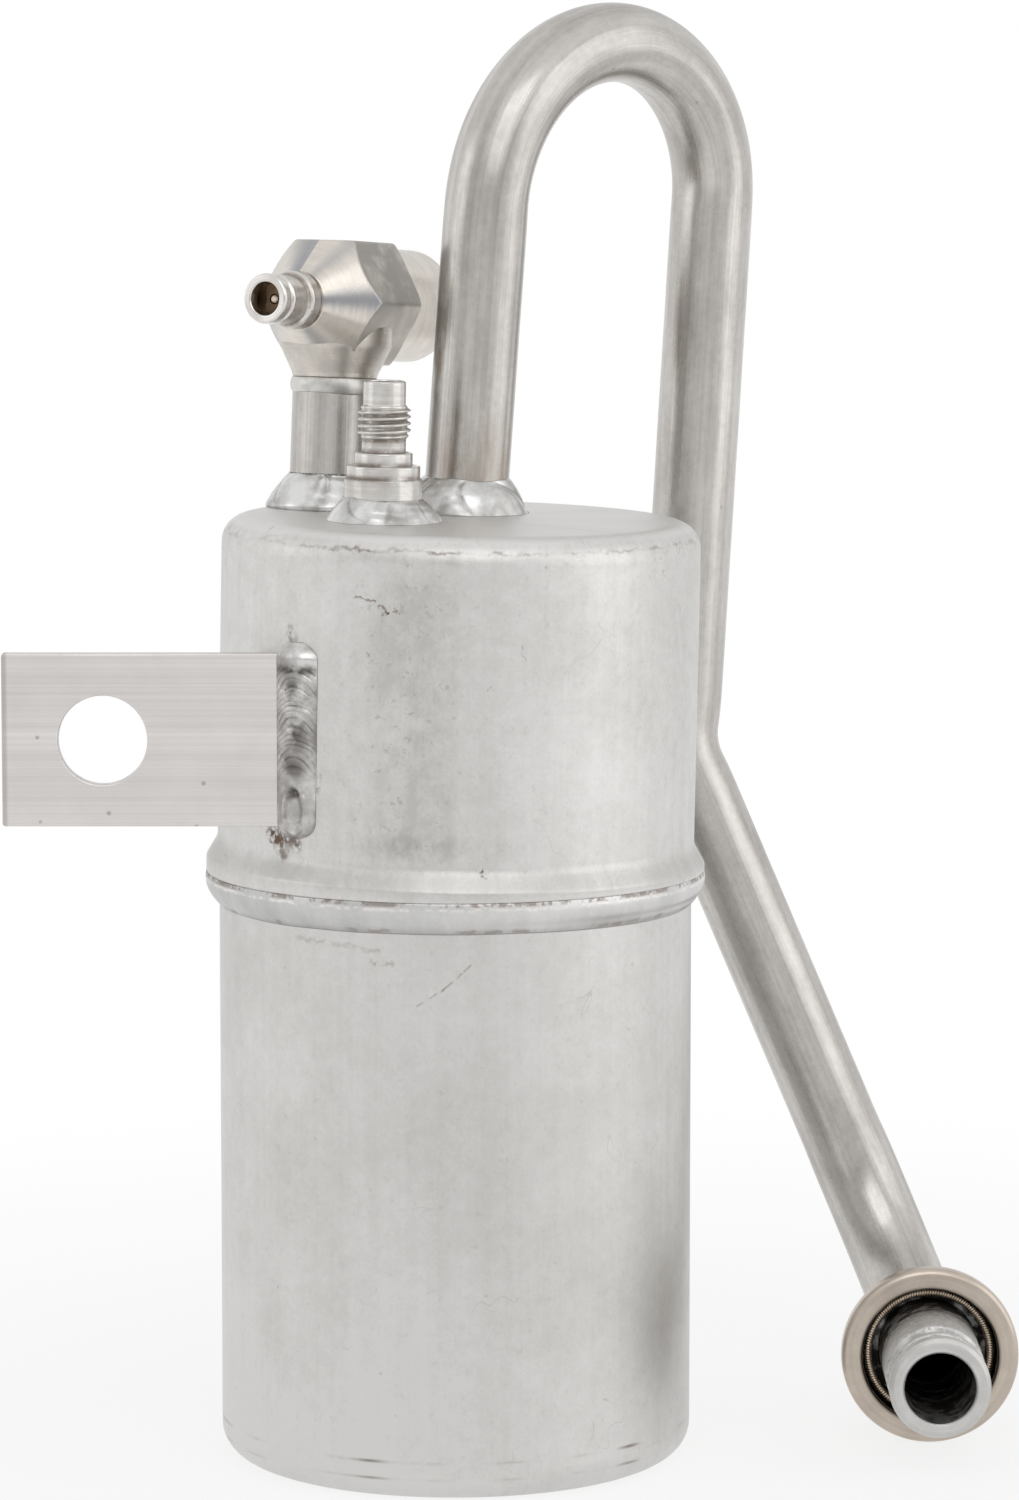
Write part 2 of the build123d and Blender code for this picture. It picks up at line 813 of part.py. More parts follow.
keep("pickup_tube", pickup)

# Cover: shallow cone with a skirt and a hub that grips the long leg
dome = turned(
    (0, dome_crown_z),
    (dome_r - 4, dome_brim_z, 3.0),
    (dome_r, dome_brim_z - 3, 2.0),
    (dome_r, dome_skirt_z),
    (dome_r - dome_wall, dome_skirt_z),
    (dome_r - dome_wall, dome_brim_z - 3.6, 1.0),
    (dome_r - 4.6, dome_brim_z - dome_wall, 1.5),
    (0, dome_crown_z - dome_wall),
)
hub_mid = outlet_point(dome_brim_z + 1.0)
dome += Pos(hub_mid.X, hub_mid.Y, hub_mid.Z) * Cylinder(dome_hub_r, dome_hub_h)
dome -= leg_bar(tube_r + joint_clearance)
keep("deflector_dome", dome)

# Oil strainer below the U bend
strainer_mid = Vector(pickup_x, u_mid_y, 0)
tube_cut = along(pickup_path, tube_r + mesh_gap)
frame = turned(
    (0, strainer_floor_z),
    (strainer_r, strainer_floor_z, 1.0),
    (strainer_r, strainer_top_z),
    (strainer_r - strainer_wall, strainer_top_z),
    (strainer_r - strainer_wall, strainer_floor_z + strainer_wall),
    (0, strainer_floor_z + strainer_wall),
)
window_z = strainer_floor_z + strainer_wall + 0.8 + strainer_window_h / 2
for i in range(strainer_windows):
    frame -= Rot(0, 0, 360 * (i + 0.5) / strainer_windows) * Pos(strainer_r, 0, window_z) * Box(
        strainer_wall * 4, strainer_window_w, strainer_window_h
    )
frame = Pos(strainer_mid) * frame - tube_cut
keep("oil_strainer_frame", max(frame.solids(), key=lambda s: s.volume))
mesh_r = strainer_r - strainer_wall - 0.02
mesh = rod(mesh_r, strainer_floor_z + strainer_wall, strainer_top_z - 0.5)
mesh -= rod(mesh_r - mesh_t, strainer_floor_z, strainer_top_z)
mesh = Pos(strainer_mid) * mesh - tube_cut
keep("oil_strainer_mesh", max(mesh.solids(), key=lambda s: s.volume))

# Desiccant bag between the legs, and its tie
bag_mid_z = (bag_low_z + bag_high_z) / 2
bag = turned(
    (0, bag_low_z),
    (bag_r, bag_low_z, bag_end_r),
    (bag_r, bag_high_z, bag_end_r),
    (0, bag_high_z),
)
bag += Pos(0, 0, bag_mid_z) * Box(bag_seam_t, bag_seam_w, bag_high_z - bag_low_z + 2 * bag_seam_h)
keep("desiccant_bag", Pos(bag_x, bag_y, 0) * bag)


def tie_loop(grow):
    """Outline of a band pulled round the bag and both legs."""
    rings = [Pos(pickup_x, outlet_foot_y) * CenterArc((0, 0), tube_r + grow, 0, 360)]
    rings += [Pos(pickup_x, pickup_return_y) * CenterArc((0, 0), tube_r + grow, 0, 360)]
    rings += [Pos(bag_x, bag_y) * CenterArc((0, 0), bag_r + grow, 0, 360)]
    return make_hull(rings)


tie = extrude(tie_loop(tie_gap + tie_thick), tie_width) - extrude(tie_loop(tie_gap), tie_width)
keep("bag_tie", Pos(0, 0, bag_mid_z) * tie)

os.makedirs("parts", exist_ok=True)
for name, shape in PARTS.items():
    export_step(shape, os.path.join("parts", name + ".step"))
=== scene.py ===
"""Looks of a welded aluminium receiver drier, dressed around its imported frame.

Lengths in the classes are millimetres and meshes are metres. The origin is the centre of the can's
bottom face, +Z runs up the can, and the camera looks along +Y.
"""

import logging
import math
from dataclasses import dataclass
from enum import Enum
from typing import Callable, Sequence, Union

import bpy
import numpy as np
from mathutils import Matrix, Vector


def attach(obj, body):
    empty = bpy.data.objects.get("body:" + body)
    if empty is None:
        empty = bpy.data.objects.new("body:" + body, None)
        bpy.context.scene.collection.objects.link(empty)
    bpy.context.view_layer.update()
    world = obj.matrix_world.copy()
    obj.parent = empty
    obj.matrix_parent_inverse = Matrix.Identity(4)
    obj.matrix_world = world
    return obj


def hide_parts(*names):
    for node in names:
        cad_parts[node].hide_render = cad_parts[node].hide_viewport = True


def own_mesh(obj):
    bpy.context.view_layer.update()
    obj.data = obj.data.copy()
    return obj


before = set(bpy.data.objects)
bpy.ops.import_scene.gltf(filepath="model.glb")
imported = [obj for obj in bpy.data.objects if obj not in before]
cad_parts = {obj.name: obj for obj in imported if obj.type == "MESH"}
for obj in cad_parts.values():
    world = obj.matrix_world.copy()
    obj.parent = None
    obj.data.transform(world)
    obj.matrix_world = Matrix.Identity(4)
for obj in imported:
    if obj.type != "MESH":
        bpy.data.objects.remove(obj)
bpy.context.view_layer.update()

MM = 0.001
CAN_BODY = "can"
LAY = "lay"
CREASE = "crease"
IMAGE_HEIGHT = 1500
DEGREES = 180 / math.pi
FINE = (44, 44, 1000)
Triple = tuple[float, float, float]

log = logging.getLogger("drier")


class Slot(Enum):
    """Names of the material slots, one for each kind of finish."""

    SHELL = "can_shell"
    STRAP = "strap_bar"
    WELD = "weld"
    TUBE = "tube"
    TURNED = "turned_block"
    CAGE = "cage_plate"
    SPRING = "spring_steel"
    BRASS = "valve_brass"
    SEAL = "seal_rubber"
    PLASTIC = "strainer_plastic"
    MESH = "strainer_mesh"
    FELT = "bag_felt"


def tone(red: float, green: float, blue: float) -> tuple[float, float, float, float]:
    """Linear colour of a display colour from 0 to 255."""
    shares = [c / 255 for c in (red, green, blue)]
    linear = [c / 12.92 if c <= 0.04045 else ((c + 0.055) / 1.055) ** 2.4 for c in shares]
    return (*linear, 1.0)


# Shader arithmetic


def plug(tree: bpy.types.NodeTree, value: object, spot: bpy.types.NodeSocket) -> None:
    """Link a value's socket to an input, or set the input to a plain value."""
    value = value.socket if isinstance(value, Val) else value
    if isinstance(value, bpy.types.NodeSocket):
        tree.links.new(value, spot)
    else:
        spot.default_value = value


class Val:
    """A number socket that takes part in Python expressions, each adding its Math node."""

    def __init__(self, tree: bpy.types.NodeTree, socket: bpy.types.NodeSocket) -> None:
        """Wrap a socket of a tree."""
        self.tree = tree
        self.socket = socket

    def _math(self, operation: str, *others: "Number", clamp: bool = False, swapped: bool = False) -> "Val":
        """Add a Math node.

        Args:
            operation: Blender's name of the operation.
            others: the other operands.
            clamp: keep the result between 0 and 1.
            swapped: put this value last.

        Returns:
            The node's result.
        """
        made = self.tree.nodes.new("ShaderNodeMath")
        made.operation = operation
        made.use_clamp = clamp
        operands = (*others, self) if swapped else (self, *others)
        for spot, operand in zip(made.inputs, operands):
            plug(self.tree, operand, spot)
        return Val(self.tree, made.outputs[0])

    def __add__(self, other: "Number") -> "Val":
        """Sum."""
        return self._math("ADD", other)

    __radd__ = __add__

    def __mul__(self, other: "Number") -> "Val":
        """Product."""
        return self._math("MULTIPLY", other)

    __rmul__ = __mul__

    def __sub__(self, other: "Number") -> "Val":
        """Difference."""
        return self._math("SUBTRACT", other)

    def __rsub__(self, other: float) -> "Val":
        """Difference from a number."""
        return self._math("SUBTRACT", other, swapped=True)

    def __truediv__(self, other: "Number") -> "Val":
        """Quotient."""
        return self._math("DIVIDE", other)

    def __rtruediv__(self, other: float) -> "Val":
        """Quotient of a number by this."""
        return self._math("DIVIDE", other, swapped=True)

    def __pow__(self, other: "Number") -> "Val":
        """Power."""
        return self._math("POWER", other)

    def size(self) -> "Val":
        """Absolute value."""
        return self._math("ABSOLUTE")

    def sine(self) -> "Val":
        """Sine."""
        return self._math("SINE")

    def angle_from(self, beside: "Val") -> "Val":
        """Angle of the point (beside, self)."""
        return self._math("ARCTAN2", beside)

    def clip(self) -> "Val":
        """Limited to 0 and 1."""
        return self._math("ADD", 0.0, clamp=True)

    def most(self, other: "Number") -> "Val":
        """Larger of two."""
        return self._math("MAXIMUM", other)

    def step(self, low: float, high: float) -> "Val":
        """Smooth rise from 0 at low to 1 at high, or a fall where low is above high."""
        share = ((self - low) / (high - low)).clip()
        return share * share * (3.0 - 2.0 * share)

    def hump(self, middle: "Number", half_width: float) -> "Val":
        """Smooth bump of height 1 about a middle."""
        return ((self - middle).size() / half_width).step(1.0, 0.0)


Number = Union[Val, float, int]
Colour = Union[bpy.types.NodeSocket, Sequence[float]]


class Graph:
    """A node tree that starts empty."""

    def __init__(self, tree: bpy.types.NodeTree) -> None:
        """Empty the tree."""
        self.tree = tree
        tree.nodes.clear()

    def node(self, kind: str, settings: dict | None = None, inputs: dict | None = None) -> bpy.types.Node:
        """Add a node.

        Args:
            kind: the node's type.
            settings: properties, set first.
            inputs: values or links by input name or number.

        Returns:
            The node.
        """
        made = self.tree.nodes.new(kind)
        for name, value in (settings or {}).items():
            setattr(made, name, value)
        for name, value in (inputs or {}).items():
            plug(self.tree, value, made.inputs[name])
        return made

    def val(self, socket: bpy.types.NodeSocket) -> Val:
        """Wrap one of this tree's sockets."""
        return Val(self.tree, socket)

    def rays(self, *kinds: str) -> list[Val]:
        """1 for rays of each kind."""
        path = self.node("ShaderNodeLightPath")
        return [self.val(path.outputs[f"Is {kind} Ray"]) for kind in kinds]


class Recipe(Graph):
    """One procedural material and the nodes in it."""

    def __init__(self, name: str) -> None:
        """Start a material with a Principled surface."""
        self.material = bpy.data.materials.new(name)
        self.material.use_nodes = True
        super().__init__(self.material.node_tree)
        self.surface = self.node("ShaderNodeBsdfPrincipled")
        self.output = self.node("ShaderNodeOutputMaterial", None, {"Surface": self.surface.outputs[0]})

    def lay(self) -> bpy.types.NodeSocket:
        """The stored place on the piece: cosine, sine and length in metres."""
        return self.node("ShaderNodeAttribute", {"attribute_name": LAY}).outputs["Vector"]

    def crease(self) -> Val:
        """The stored mark of valleys and hidden walls."""
        return self.val(self.node("ShaderNodeAttribute", {"attribute_name": CREASE}).outputs["Fac"])

    def place(self) -> bpy.types.NodeSocket:
        """Object coordinates."""
        return self.node("ShaderNodeTexCoord").outputs["Object"]

    def stretch(self, vector: bpy.types.NodeSocket, by: Sequence[float]) -> bpy.types.NodeSocket:
        """Vector multiplied by three factors."""
        made = self.node("ShaderNodeVectorMath", {"operation": "MULTIPLY"}, {0: vector, 1: tuple(by)})
        return made.outputs[0]

    def parts(self, vector: bpy.types.NodeSocket) -> tuple[Val, Val, Val]:
        """The three numbers of a vector."""
        made = self.node("ShaderNodeSeparateXYZ", None, {0: vector})
        return tuple(self.val(made.outputs[i]) for i in range(3))

    def noise(self, vector: bpy.types.NodeSocket, scale: float, detail: float = 3.0,
              rough: float = 0.55, shift: float = 0.0) -> Val:
        """Fractal noise about 0.5.

        Args:
            vector: where it is read.
            scale: cells in one unit of the vector.
            detail: octaves.
            rough: share of each finer octave.
            shift: warping of the pattern.

        Returns:
            The noise value.
        """
        made = self.node("ShaderNodeTexNoise", {"noise_dimensions": "3D"}, {
            "Vector": vector, "Scale": scale, "Detail": detail, "Roughness": rough, "Distortion": shift})
        return self.val(made.outputs["Fac"])

    def cells(self, vector: bpy.types.NodeSocket, scale: float) -> Val:
        """Distance to the nearest of scattered points, in cells."""
        made = self.node("ShaderNodeTexVoronoi", {"feature": "F1"}, {"Vector": vector, "Scale": scale})
        return self.val(made.outputs["Distance"])

    def mix(self, factor: Number, low: Colour, high: Colour) -> bpy.types.NodeSocket:
        """Colour between two colours."""
        made = self.node("ShaderNodeMix", {"data_type": "RGBA", "clamp_factor": True})
        for spot, value in ((0, factor), (6, low), (7, high)):
            plug(self.tree, value, made.inputs[spot])
        return made.outputs[2]

    def relief(self, height: Val, depth_mm: float) -> None:
        """Bump the surface by a height from 0 to 1 that stands for a depth."""
        made = self.node("ShaderNodeBump", None, {"Height": height, "Distance": depth_mm * MM})
        self.tree.links.new(made.outputs[0], self.surface.inputs["Normal"])

    def set(self, **values: object) -> "Recipe":
        """Set inputs of the surface by name, with underscores for spaces."""
        for name, value in values.items():
            plug(self.tree, value, self.surface.inputs[name.replace("_", " ")])
        return self


class Mark(Enum):
    """Kinds of single marks on the can."""

    SCRATCH = "scratch"
    SOOT = "soot"


@dataclass(frozen=True)
class Stroke:
    """One mark on the can between two spots, each an angle in degrees and a height."""

    start: tuple[float, float]
    end: tuple[float, float]
    half_width: float
    depth: float
    kind: Mark = Mark.SCRATCH


def metal(recipe: Recipe, colour: Colour, rough: Number, dirt: Number, dull: float) -> None:
    """Set a metal surface whose dark mark, from 0 to 1, takes away a share of its metallic look; the mark is
    dirt on some pieces and painted shade on others.
    """
    recipe.set(Base_Color=colour, Metallic=1.0 - dirt * dull, Roughness=rough.clip())


@dataclass(frozen=True)
class ShellFinish:
    """Satin drawn aluminium with mottling, drawing streaks, pits, smudges and single marks, and painted light
    and shade by height: a darker bell, a lighter top face and a lighter bottom.
    """

    name: str = "satin_drawn_shell"
    base: Triple = (219, 218, 216)
    shade: Triple = (192, 191, 188)
    dirt: Triple = (112, 92, 78)
    radius: float = 44.65
    roughness: float = 0.44
    smudges_and_painted_light: bool = False
    foot: bool = False
    strokes: tuple[Stroke, ...] = ()

    def build(self) -> bpy.types.Material:
        """Make the material. The lay attribute holds (cosine, sine, height in metres)."""
        recipe = Recipe(self.name)
        lay = recipe.lay()
        fine = recipe.stretch(lay, FINE)
        across, beside, height_m = recipe.parts(lay)
        angle = beside.angle_from(across) * DEGREES
        height = height_m / MM
        hoop = angle * (self.radius / DEGREES)

        mottle = recipe.noise(recipe.stretch(lay, (1, 1, 22)), 2.6, 4.0, 0.6)
        cloud = recipe.noise(recipe.stretch(lay, (1, 1, 14)), 0.95, 2.0)
        streak = recipe.noise(recipe.stretch(lay, (30, 30, 14)), 1.0, 3.0, 0.6)
        broad_streak = recipe.noise(recipe.stretch(lay, (7, 7, 5)), 1.0, 2.0)
        grain = recipe.noise(fine, 1.6, 3.0, 0.7)
        pits = recipe.cells(fine, 0.19).step(0.085, 0.03)
        pit_share = recipe.noise(fine, 0.11, 1.0).step(0.52, 0.62)
        hair = (recipe.noise(recipe.stretch(lay, (16, 16, 330)), 0.22, 1.0, 0.5, 1.2) - 0.5).size()
        hair_share = recipe.noise(fine, 0.035, 1.0).step(0.55, 0.66)
        hairline = hair.step(0.004, 0.0) * hair_share

        blotch = recipe.noise(fine, 0.34, 4.0, 0.65)
        shade = (mottle - 0.5) * 0.8 + (cloud - 0.5) * 0.8 + (streak - 0.5) * 0.32 + (blotch - 0.5) * 0.8
        shade = shade + (broad_streak - 0.5) * 0.4 + (grain - 0.5) * 0.7 + 0.35
        shade = shade + pits * pit_share * 0.9 + hairline * 0.5
        fleck = recipe.noise(fine, 0.62, 4.0, 0.75).step(0.57, 0.7)
        shade = shade + fleck * 0.35
        stain = hairline * 0.1
        if self.smudges_and_painted_light:
            column = angle.hump(-101.0, 17.0) * height.step(116.0, 126.0) * height.step(177.0, 165.0)
            patchy = recipe.noise(recipe.stretch(lay, (44, 44, 700)), 0.16, 4.0, 0.7).step(0.36, 0.66)
            shade = shade + column * (0.2 + patchy * 0.6 + fleck * 0.6)
            stain = stain + column * fleck * 0.22
            low_band = height.hump(121.0, 4.5) * angle.hump(-98.0, 26.0)
            stain = stain + low_band * patchy * 0.3
            rim = height.hump(175.0 + (blotch - 0.5) * 3.2, 0.5)
            rim_share = recipe.noise(recipe.stretch(lay, (12, 12, 300)), 1.0, 4.0, 0.7).step(0.44, 0.7)
            darkest = angle.hump(-94.0, 5.5) + angle.hump(-113.0, 14.0) * 0.35
            stain = stain + rim * (rim_share * 0.35 + darkest * (0.3 + patchy * 0.5) + 0.06)
            shade = shade + height.hump(174.0, 2.6) * (rim_share * 0.3 + darkest * patchy * 0.7)
            # Painted shade on the bell's flare about 115 mm, and painted light on the top face above 176 mm.
            shade = shade + height.hump(115.2, 3.6) * 0.6 - height.step(176.0, 177.2) * 0.45
        if self.foot:
            ring = height.hump(7.6, 0.5) + height.hump(4.4, 0.45) * 0.7
            ring_share = recipe.noise(recipe.stretch(lay, (5, 5, 30)), 1.0, 3.0).step(0.42, 0.7)
            worn = angle.hump(-110.5, 6.0) + angle.hump(-43.0, 6.0) * 0.7
            stain = stain + ring * (ring_share * 0.3 + worn * 0.7)
            # A faint darker patch low on the right side, and painted light that makes the wall lighter
            # towards the bottom.
            shade = shade + angle.hump(-25.0, 16.0) * height.hump(46.0, 22.0) * 0.2
            shade = shade - height.step(55.0, 8.0) * 0.35
        dent = 0.0
        for stroke in self.strokes:
            wobble = (recipe.noise(fine, 0.62, 3.0, 0.7) - 0.5) * 2.4
            mask = self._stroke(hoop + wobble, height + wobble, stroke)
            if stroke.kind is Mark.SOOT:
                ragged = recipe.noise(fine, 0.75, 3.0, 0.65).step(0.36, 0.58)
                stain = stain + mask * ragged * stroke.depth
            else:
                broken = recipe.noise(fine, 0.9, 1.0).step(0.4, 0.52)
                stain = stain + mask * broken * stroke.depth
                dent = dent + mask * stroke.depth
        body = recipe.mix(shade.clip(), tone(*self.base), tone(*self.shade))
        rough = self.roughness + (mottle - 0.5) * 0.22 + (streak - 0.5) * 0.1 + stain * 0.2
        metal(recipe, recipe.mix(stain.clip(), body, tone(*self.dirt)), rough, stain.clip(), 0.75)
        skin = (streak - 0.5) * 0.3 + (grain - 0.5) * 0.45 + (mottle - 0.5) * 1.2 + (blotch - 0.5) * 0.6
        skin = skin - pits * pit_share * 0.8
        recipe.relief(skin - dent * 1.2 - hairline * 0.4, 0.035)
        return recipe.material

    def _stroke(self, hoop: Val, height: Val, stroke: Stroke) -> Val:
        """Mask about a straight mark.

        Args:
            hoop: length round the can.
            height: height on the can.
            stroke: the mark.

        Returns:
            1 on the mark's line, falling to 0 at its half width.
        """
        per_degree = self.radius / DEGREES
        x0, z0 = stroke.start[0] * per_degree, stroke.start[1]
        dx, dz = stroke.end[0] * per_degree - x0, stroke.end[1] - z0
        square = max(dx * dx + dz * dz, 1e-6)
        share = (((hoop - x0) * dx + (height - z0) * dz) / square).clip()
        off_x = hoop - x0 - share * dx
        off_z = height - z0 - share * dz
        return ((off_x * off_x + off_z * off_z) ** 0.5 / stroke.half_width).step(1.0, 0.15)


@dataclass(frozen=True)
class TubeFinish:
    """Drawn aluminium tube with long die lines, dull patches and a warm tint at its foot, and its bore
    painted dark as shade.
    """

    name: str = "drawn_tube"
    base: Triple = (202, 199, 195)
    shade: Triple = (160, 156, 151)
    tint: Triple = (158, 136, 114)
    mark: Triple = (118, 118, 116)
    oxide: Triple = (58, 53, 48)
    tint_until: float = 46.0
    dashes: tuple[Triple, ...] = ()
    roughness: float = 0.27

    def build(self) -> bpy.types.Material:
        """Make the material. The lay attribute holds (cosine, sine, run in metres)."""
        recipe = Recipe(self.name)
        lay = recipe.lay()
        short = recipe.stretch(lay, (8, 8, 1000))
        across, beside, run_m = recipe.parts(lay)
        run = run_m / MM
        angle = beside.angle_from(across) * DEGREES
        fine = recipe.noise(recipe.stretch(lay, (20, 20, 9)), 1.0, 4.0, 0.65)
        wide = recipe.noise(recipe.stretch(lay, (3.2, 3.2, 7)), 1.0, 2.0)
        patch = recipe.noise(recipe.stretch(lay, (1.6, 1.6, 60)), 1.0, 4.0, 0.65)
        speck = recipe.noise(short, 0.7, 2.0, 0.6)
        knock = recipe.cells(short, 0.16).step(0.1, 0.04)
        knock = knock * recipe.noise(recipe.stretch(lay, (3, 3, 60)), 1.0, 1.0).step(0.5, 0.62)
        shade = (fine - 0.5) * 0.8 + (wide - 0.5) * 1.5 + (patch - 0.5) * 1.3 + (speck - 0.5) * 0.5 + 0.4
        warm = run.step(self.tint_until, self.tint_until * 0.4) * (wide + patch - 0.82).clip() * 3.0
        dash = 0.0
        for turn, start, length in self.dashes:
            along = run.step(start - 1.0, start) * run.step(start + length, start + length - 1.0)
            dash = dash + (angle + (fine - 0.5) * 12.0).hump(turn, 11.0) * along
        colour = recipe.mix(shade.clip(), tone(*self.base), tone(*self.shade))
        colour = recipe.mix((warm * 0.35).clip(), colour, tone(*self.tint))
        colour = recipe.mix((dash * 0.55 + knock * 0.35).clip(), colour, tone(*self.mark))
        # The bore wall, where the crease value is 1, is painted near black: painted shade.
        inner = recipe.crease()
        rough = self.roughness + (patch - 0.5) * 0.2 + (fine - 0.5) * 0.14 + inner * 0.3
        metal(recipe, recipe.mix(inner, colour, tone(*self.oxide)), rough, inner, 0.4)
        recipe.relief((fine - 0.5) * 0.6 + (wide - 0.5) * 0.8 + (speck - 0.5) * 0.2 - knock * 0.5, 0.04)
        return recipe.material


@dataclass(frozen=True)
class StrapFinish:
    """Extruded flat bar with fine lines along it, a few pits and dark sheared ends."""

    name: str = "extruded_bar"
    base: Triple = (228, 224, 222)
    shade: Triple = (199, 195, 192)
    pit: Triple = (150, 142, 136)
    roughness: float = 0.42
    sheared_x: float = -82.4

    def build(self) -> bpy.types.Material:
        """Make the material on Object coordinates."""
        recipe = Recipe(self.name)
        place = recipe.place()
        across = recipe.parts(place)[0] / MM
        lines = recipe.noise(recipe.stretch(place, (3, 300, 1500)), 1.0, 3.0, 0.7)
        bands = recipe.noise(recipe.stretch(place, (2, 60, 210)), 1.0, 2.0)
        cloud = recipe.noise(place, 90.0, 4.0, 0.6)
        pits = recipe.cells(place, 150.0).step(0.085, 0.045)
        shade = (lines - 0.5) * 1.1 + (bands - 0.5) * 1.4 + (cloud - 0.5) * 0.6 + 0.35
        edge = across.step(self.sheared_x + 1.3, self.sheared_x + 0.5)
        colour = recipe.mix(shade.clip(), tone(*self.base), tone(*self.shade))
        colour = recipe.mix((pits * 0.6 + edge * 0.45).clip(), colour, tone(*self.pit))
        rough = self.roughness + (cloud - 0.5) * 0.2 + (lines - 0.5) * 0.1
        recipe.set(Base_Color=colour, Metallic=1.0, Roughness=rough.clip())
        recipe.relief((lines - 0.5) * 0.9 + (bands - 0.5) * 0.8 + (cloud - 0.5) * 0.3 - pits * 0.8, 0.04)
        return recipe.material


@dataclass(frozen=True)
class BeadFinish:
    """Bright frozen weld metal with oxide and soot in its creases."""

    name: str
    base: Triple = (218, 218, 217)
    dull: Triple = (164, 162, 159)
    soot: Triple = (104, 90, 80)
    roughness: float = 0.24
    sooty: float = 0.4
    ripple: float = 0.03

    def build(self) -> bpy.types.Material:
        """Make the material. The crease attribute is 1 in the valleys between the puddles."""
        recipe = Recipe(self.name)
        place = recipe.place()
        crease = recipe.crease()
        oxide = recipe.noise(place, 260.0, 4.0, 0.65)
        skin = recipe.noise(place, 700.0, 3.0, 0.6)
        cloud = recipe.noise(place, 120.0, 2.0)
        dull = ((oxide - 0.5) * 2.0 + (cloud - 0.5) * 2.6 + crease * 0.6 + 0.35).clip()
        colour = recipe.mix(dull, tone(*self.base), tone(*self.dull))
        dirt = (crease * self.sooty * oxide.step(0.34, 0.6)).clip()
        rough = self.roughness + dull * 0.16 + dirt * 0.25
        metal(recipe, recipe.mix(dirt, colour, tone(*self.soot)), rough, dirt, 0.6)
        recipe.relief((skin - 0.5) * 0.8 + (oxide - 0.5) * 0.9, self.ripple)
        return recipe.material


@dataclass(frozen=True)
class GirthFinish:
    """Smooth bluish weld band, painted darker toward the can's left, with a broken brown and white line at
    the lip above it; the white is partly flux and partly a painted highlight.
    """

    name: str = "girth_band"
    base: Triple = (217, 216, 215)
    shade: Triple = (188, 188, 187)
    scale: Triple = (122, 98, 82)
    glint_and_flux: Triple = (238, 236, 232)
    top: float = 111.5
    bottom: float = 105.4
    roughness: float = 0.38

    def build(self) -> bpy.types.Material:
        """Make the material. The lay attribute holds (cosine, sine, height in metres)."""
        recipe = Recipe(self.name)
        lay = recipe.lay()
        fine = recipe.stretch(lay, FINE)
        across, _, height_m = recipe.parts(lay)
        height, left = height_m / MM, across.step(0.2, -0.75)
        crease = recipe.crease()
        cloud = recipe.noise(recipe.stretch(lay, (6, 6, 60)), 1.0, 4.0, 0.6)
        run = recipe.noise(fine, 0.42, 4.0, 0.7)
        grain = recipe.noise(fine, 1.1, 3.0, 0.65)
        share = recipe.noise(recipe.stretch(lay, (5, 5, 20)), 1.0, 3.0, 0.7)
        line = (height + (run - 0.5) * 2.4).step(self.top - 1.5, self.top - 0.5)
        thin = height.step(self.top - 0.9, self.top - 0.3)
        brown = line * (share + (grain - 0.5) * 0.7).step(0.45, 0.63) * thin
        # Painted highlight: white flecks just under the lip stand for the lip's glint, partly flux.
        chip = height.hump(self.top - 1.05 + (run - 0.5) * 1.5, 0.55)
        white = chip * (grain + (share - 0.5) * 0.7).step(0.38, 0.62) * 0.7
        low = height.hump(self.bottom + 0.75 + (run - 0.5) * 1.4, 0.7)
        toe = low * (share + (cloud - 0.5) * 0.6).step(0.5, 0.62)
        # Painted shade: the band is darker toward the can's left side, where left grows.
        dull = ((cloud - 0.5) * 1.6 + (grain - 0.5) * 0.5 + left * 0.7 + 0.2).clip()
        body = recipe.mix(dull, tone(*self.base), tone(*self.shade))
        body = recipe.mix(white.clip(), body, tone(*self.glint_and_flux))
        dirt = (brown * 0.62 + toe * 0.5 + crease * 0.12).clip()
        rough = self.roughness + (cloud - 0.5) * 0.2 + dirt * 0.25
        metal(recipe, recipe.mix(dirt, body, tone(*self.scale)), rough, dirt, 0.7)
        recipe.relief((run - 0.5) * 0.7 + (grain - 0.5) * 0.5 - brown * 0.8, 0.06)
        return recipe.material


# Painted reflection on the turned cone, as dark sectors: middle and half width in degrees, and strength
PAINTED_REFLECTION_SECTORS = ((93.0, 20.0, 1.0), (150.0, 14.0, 0.5), (-172.0, 34.0, 1.0), (18.0, 22.0, 0.6), (-70.0, 40.0, 0.5))
SEAM_BROWN = (112, 92, 74)


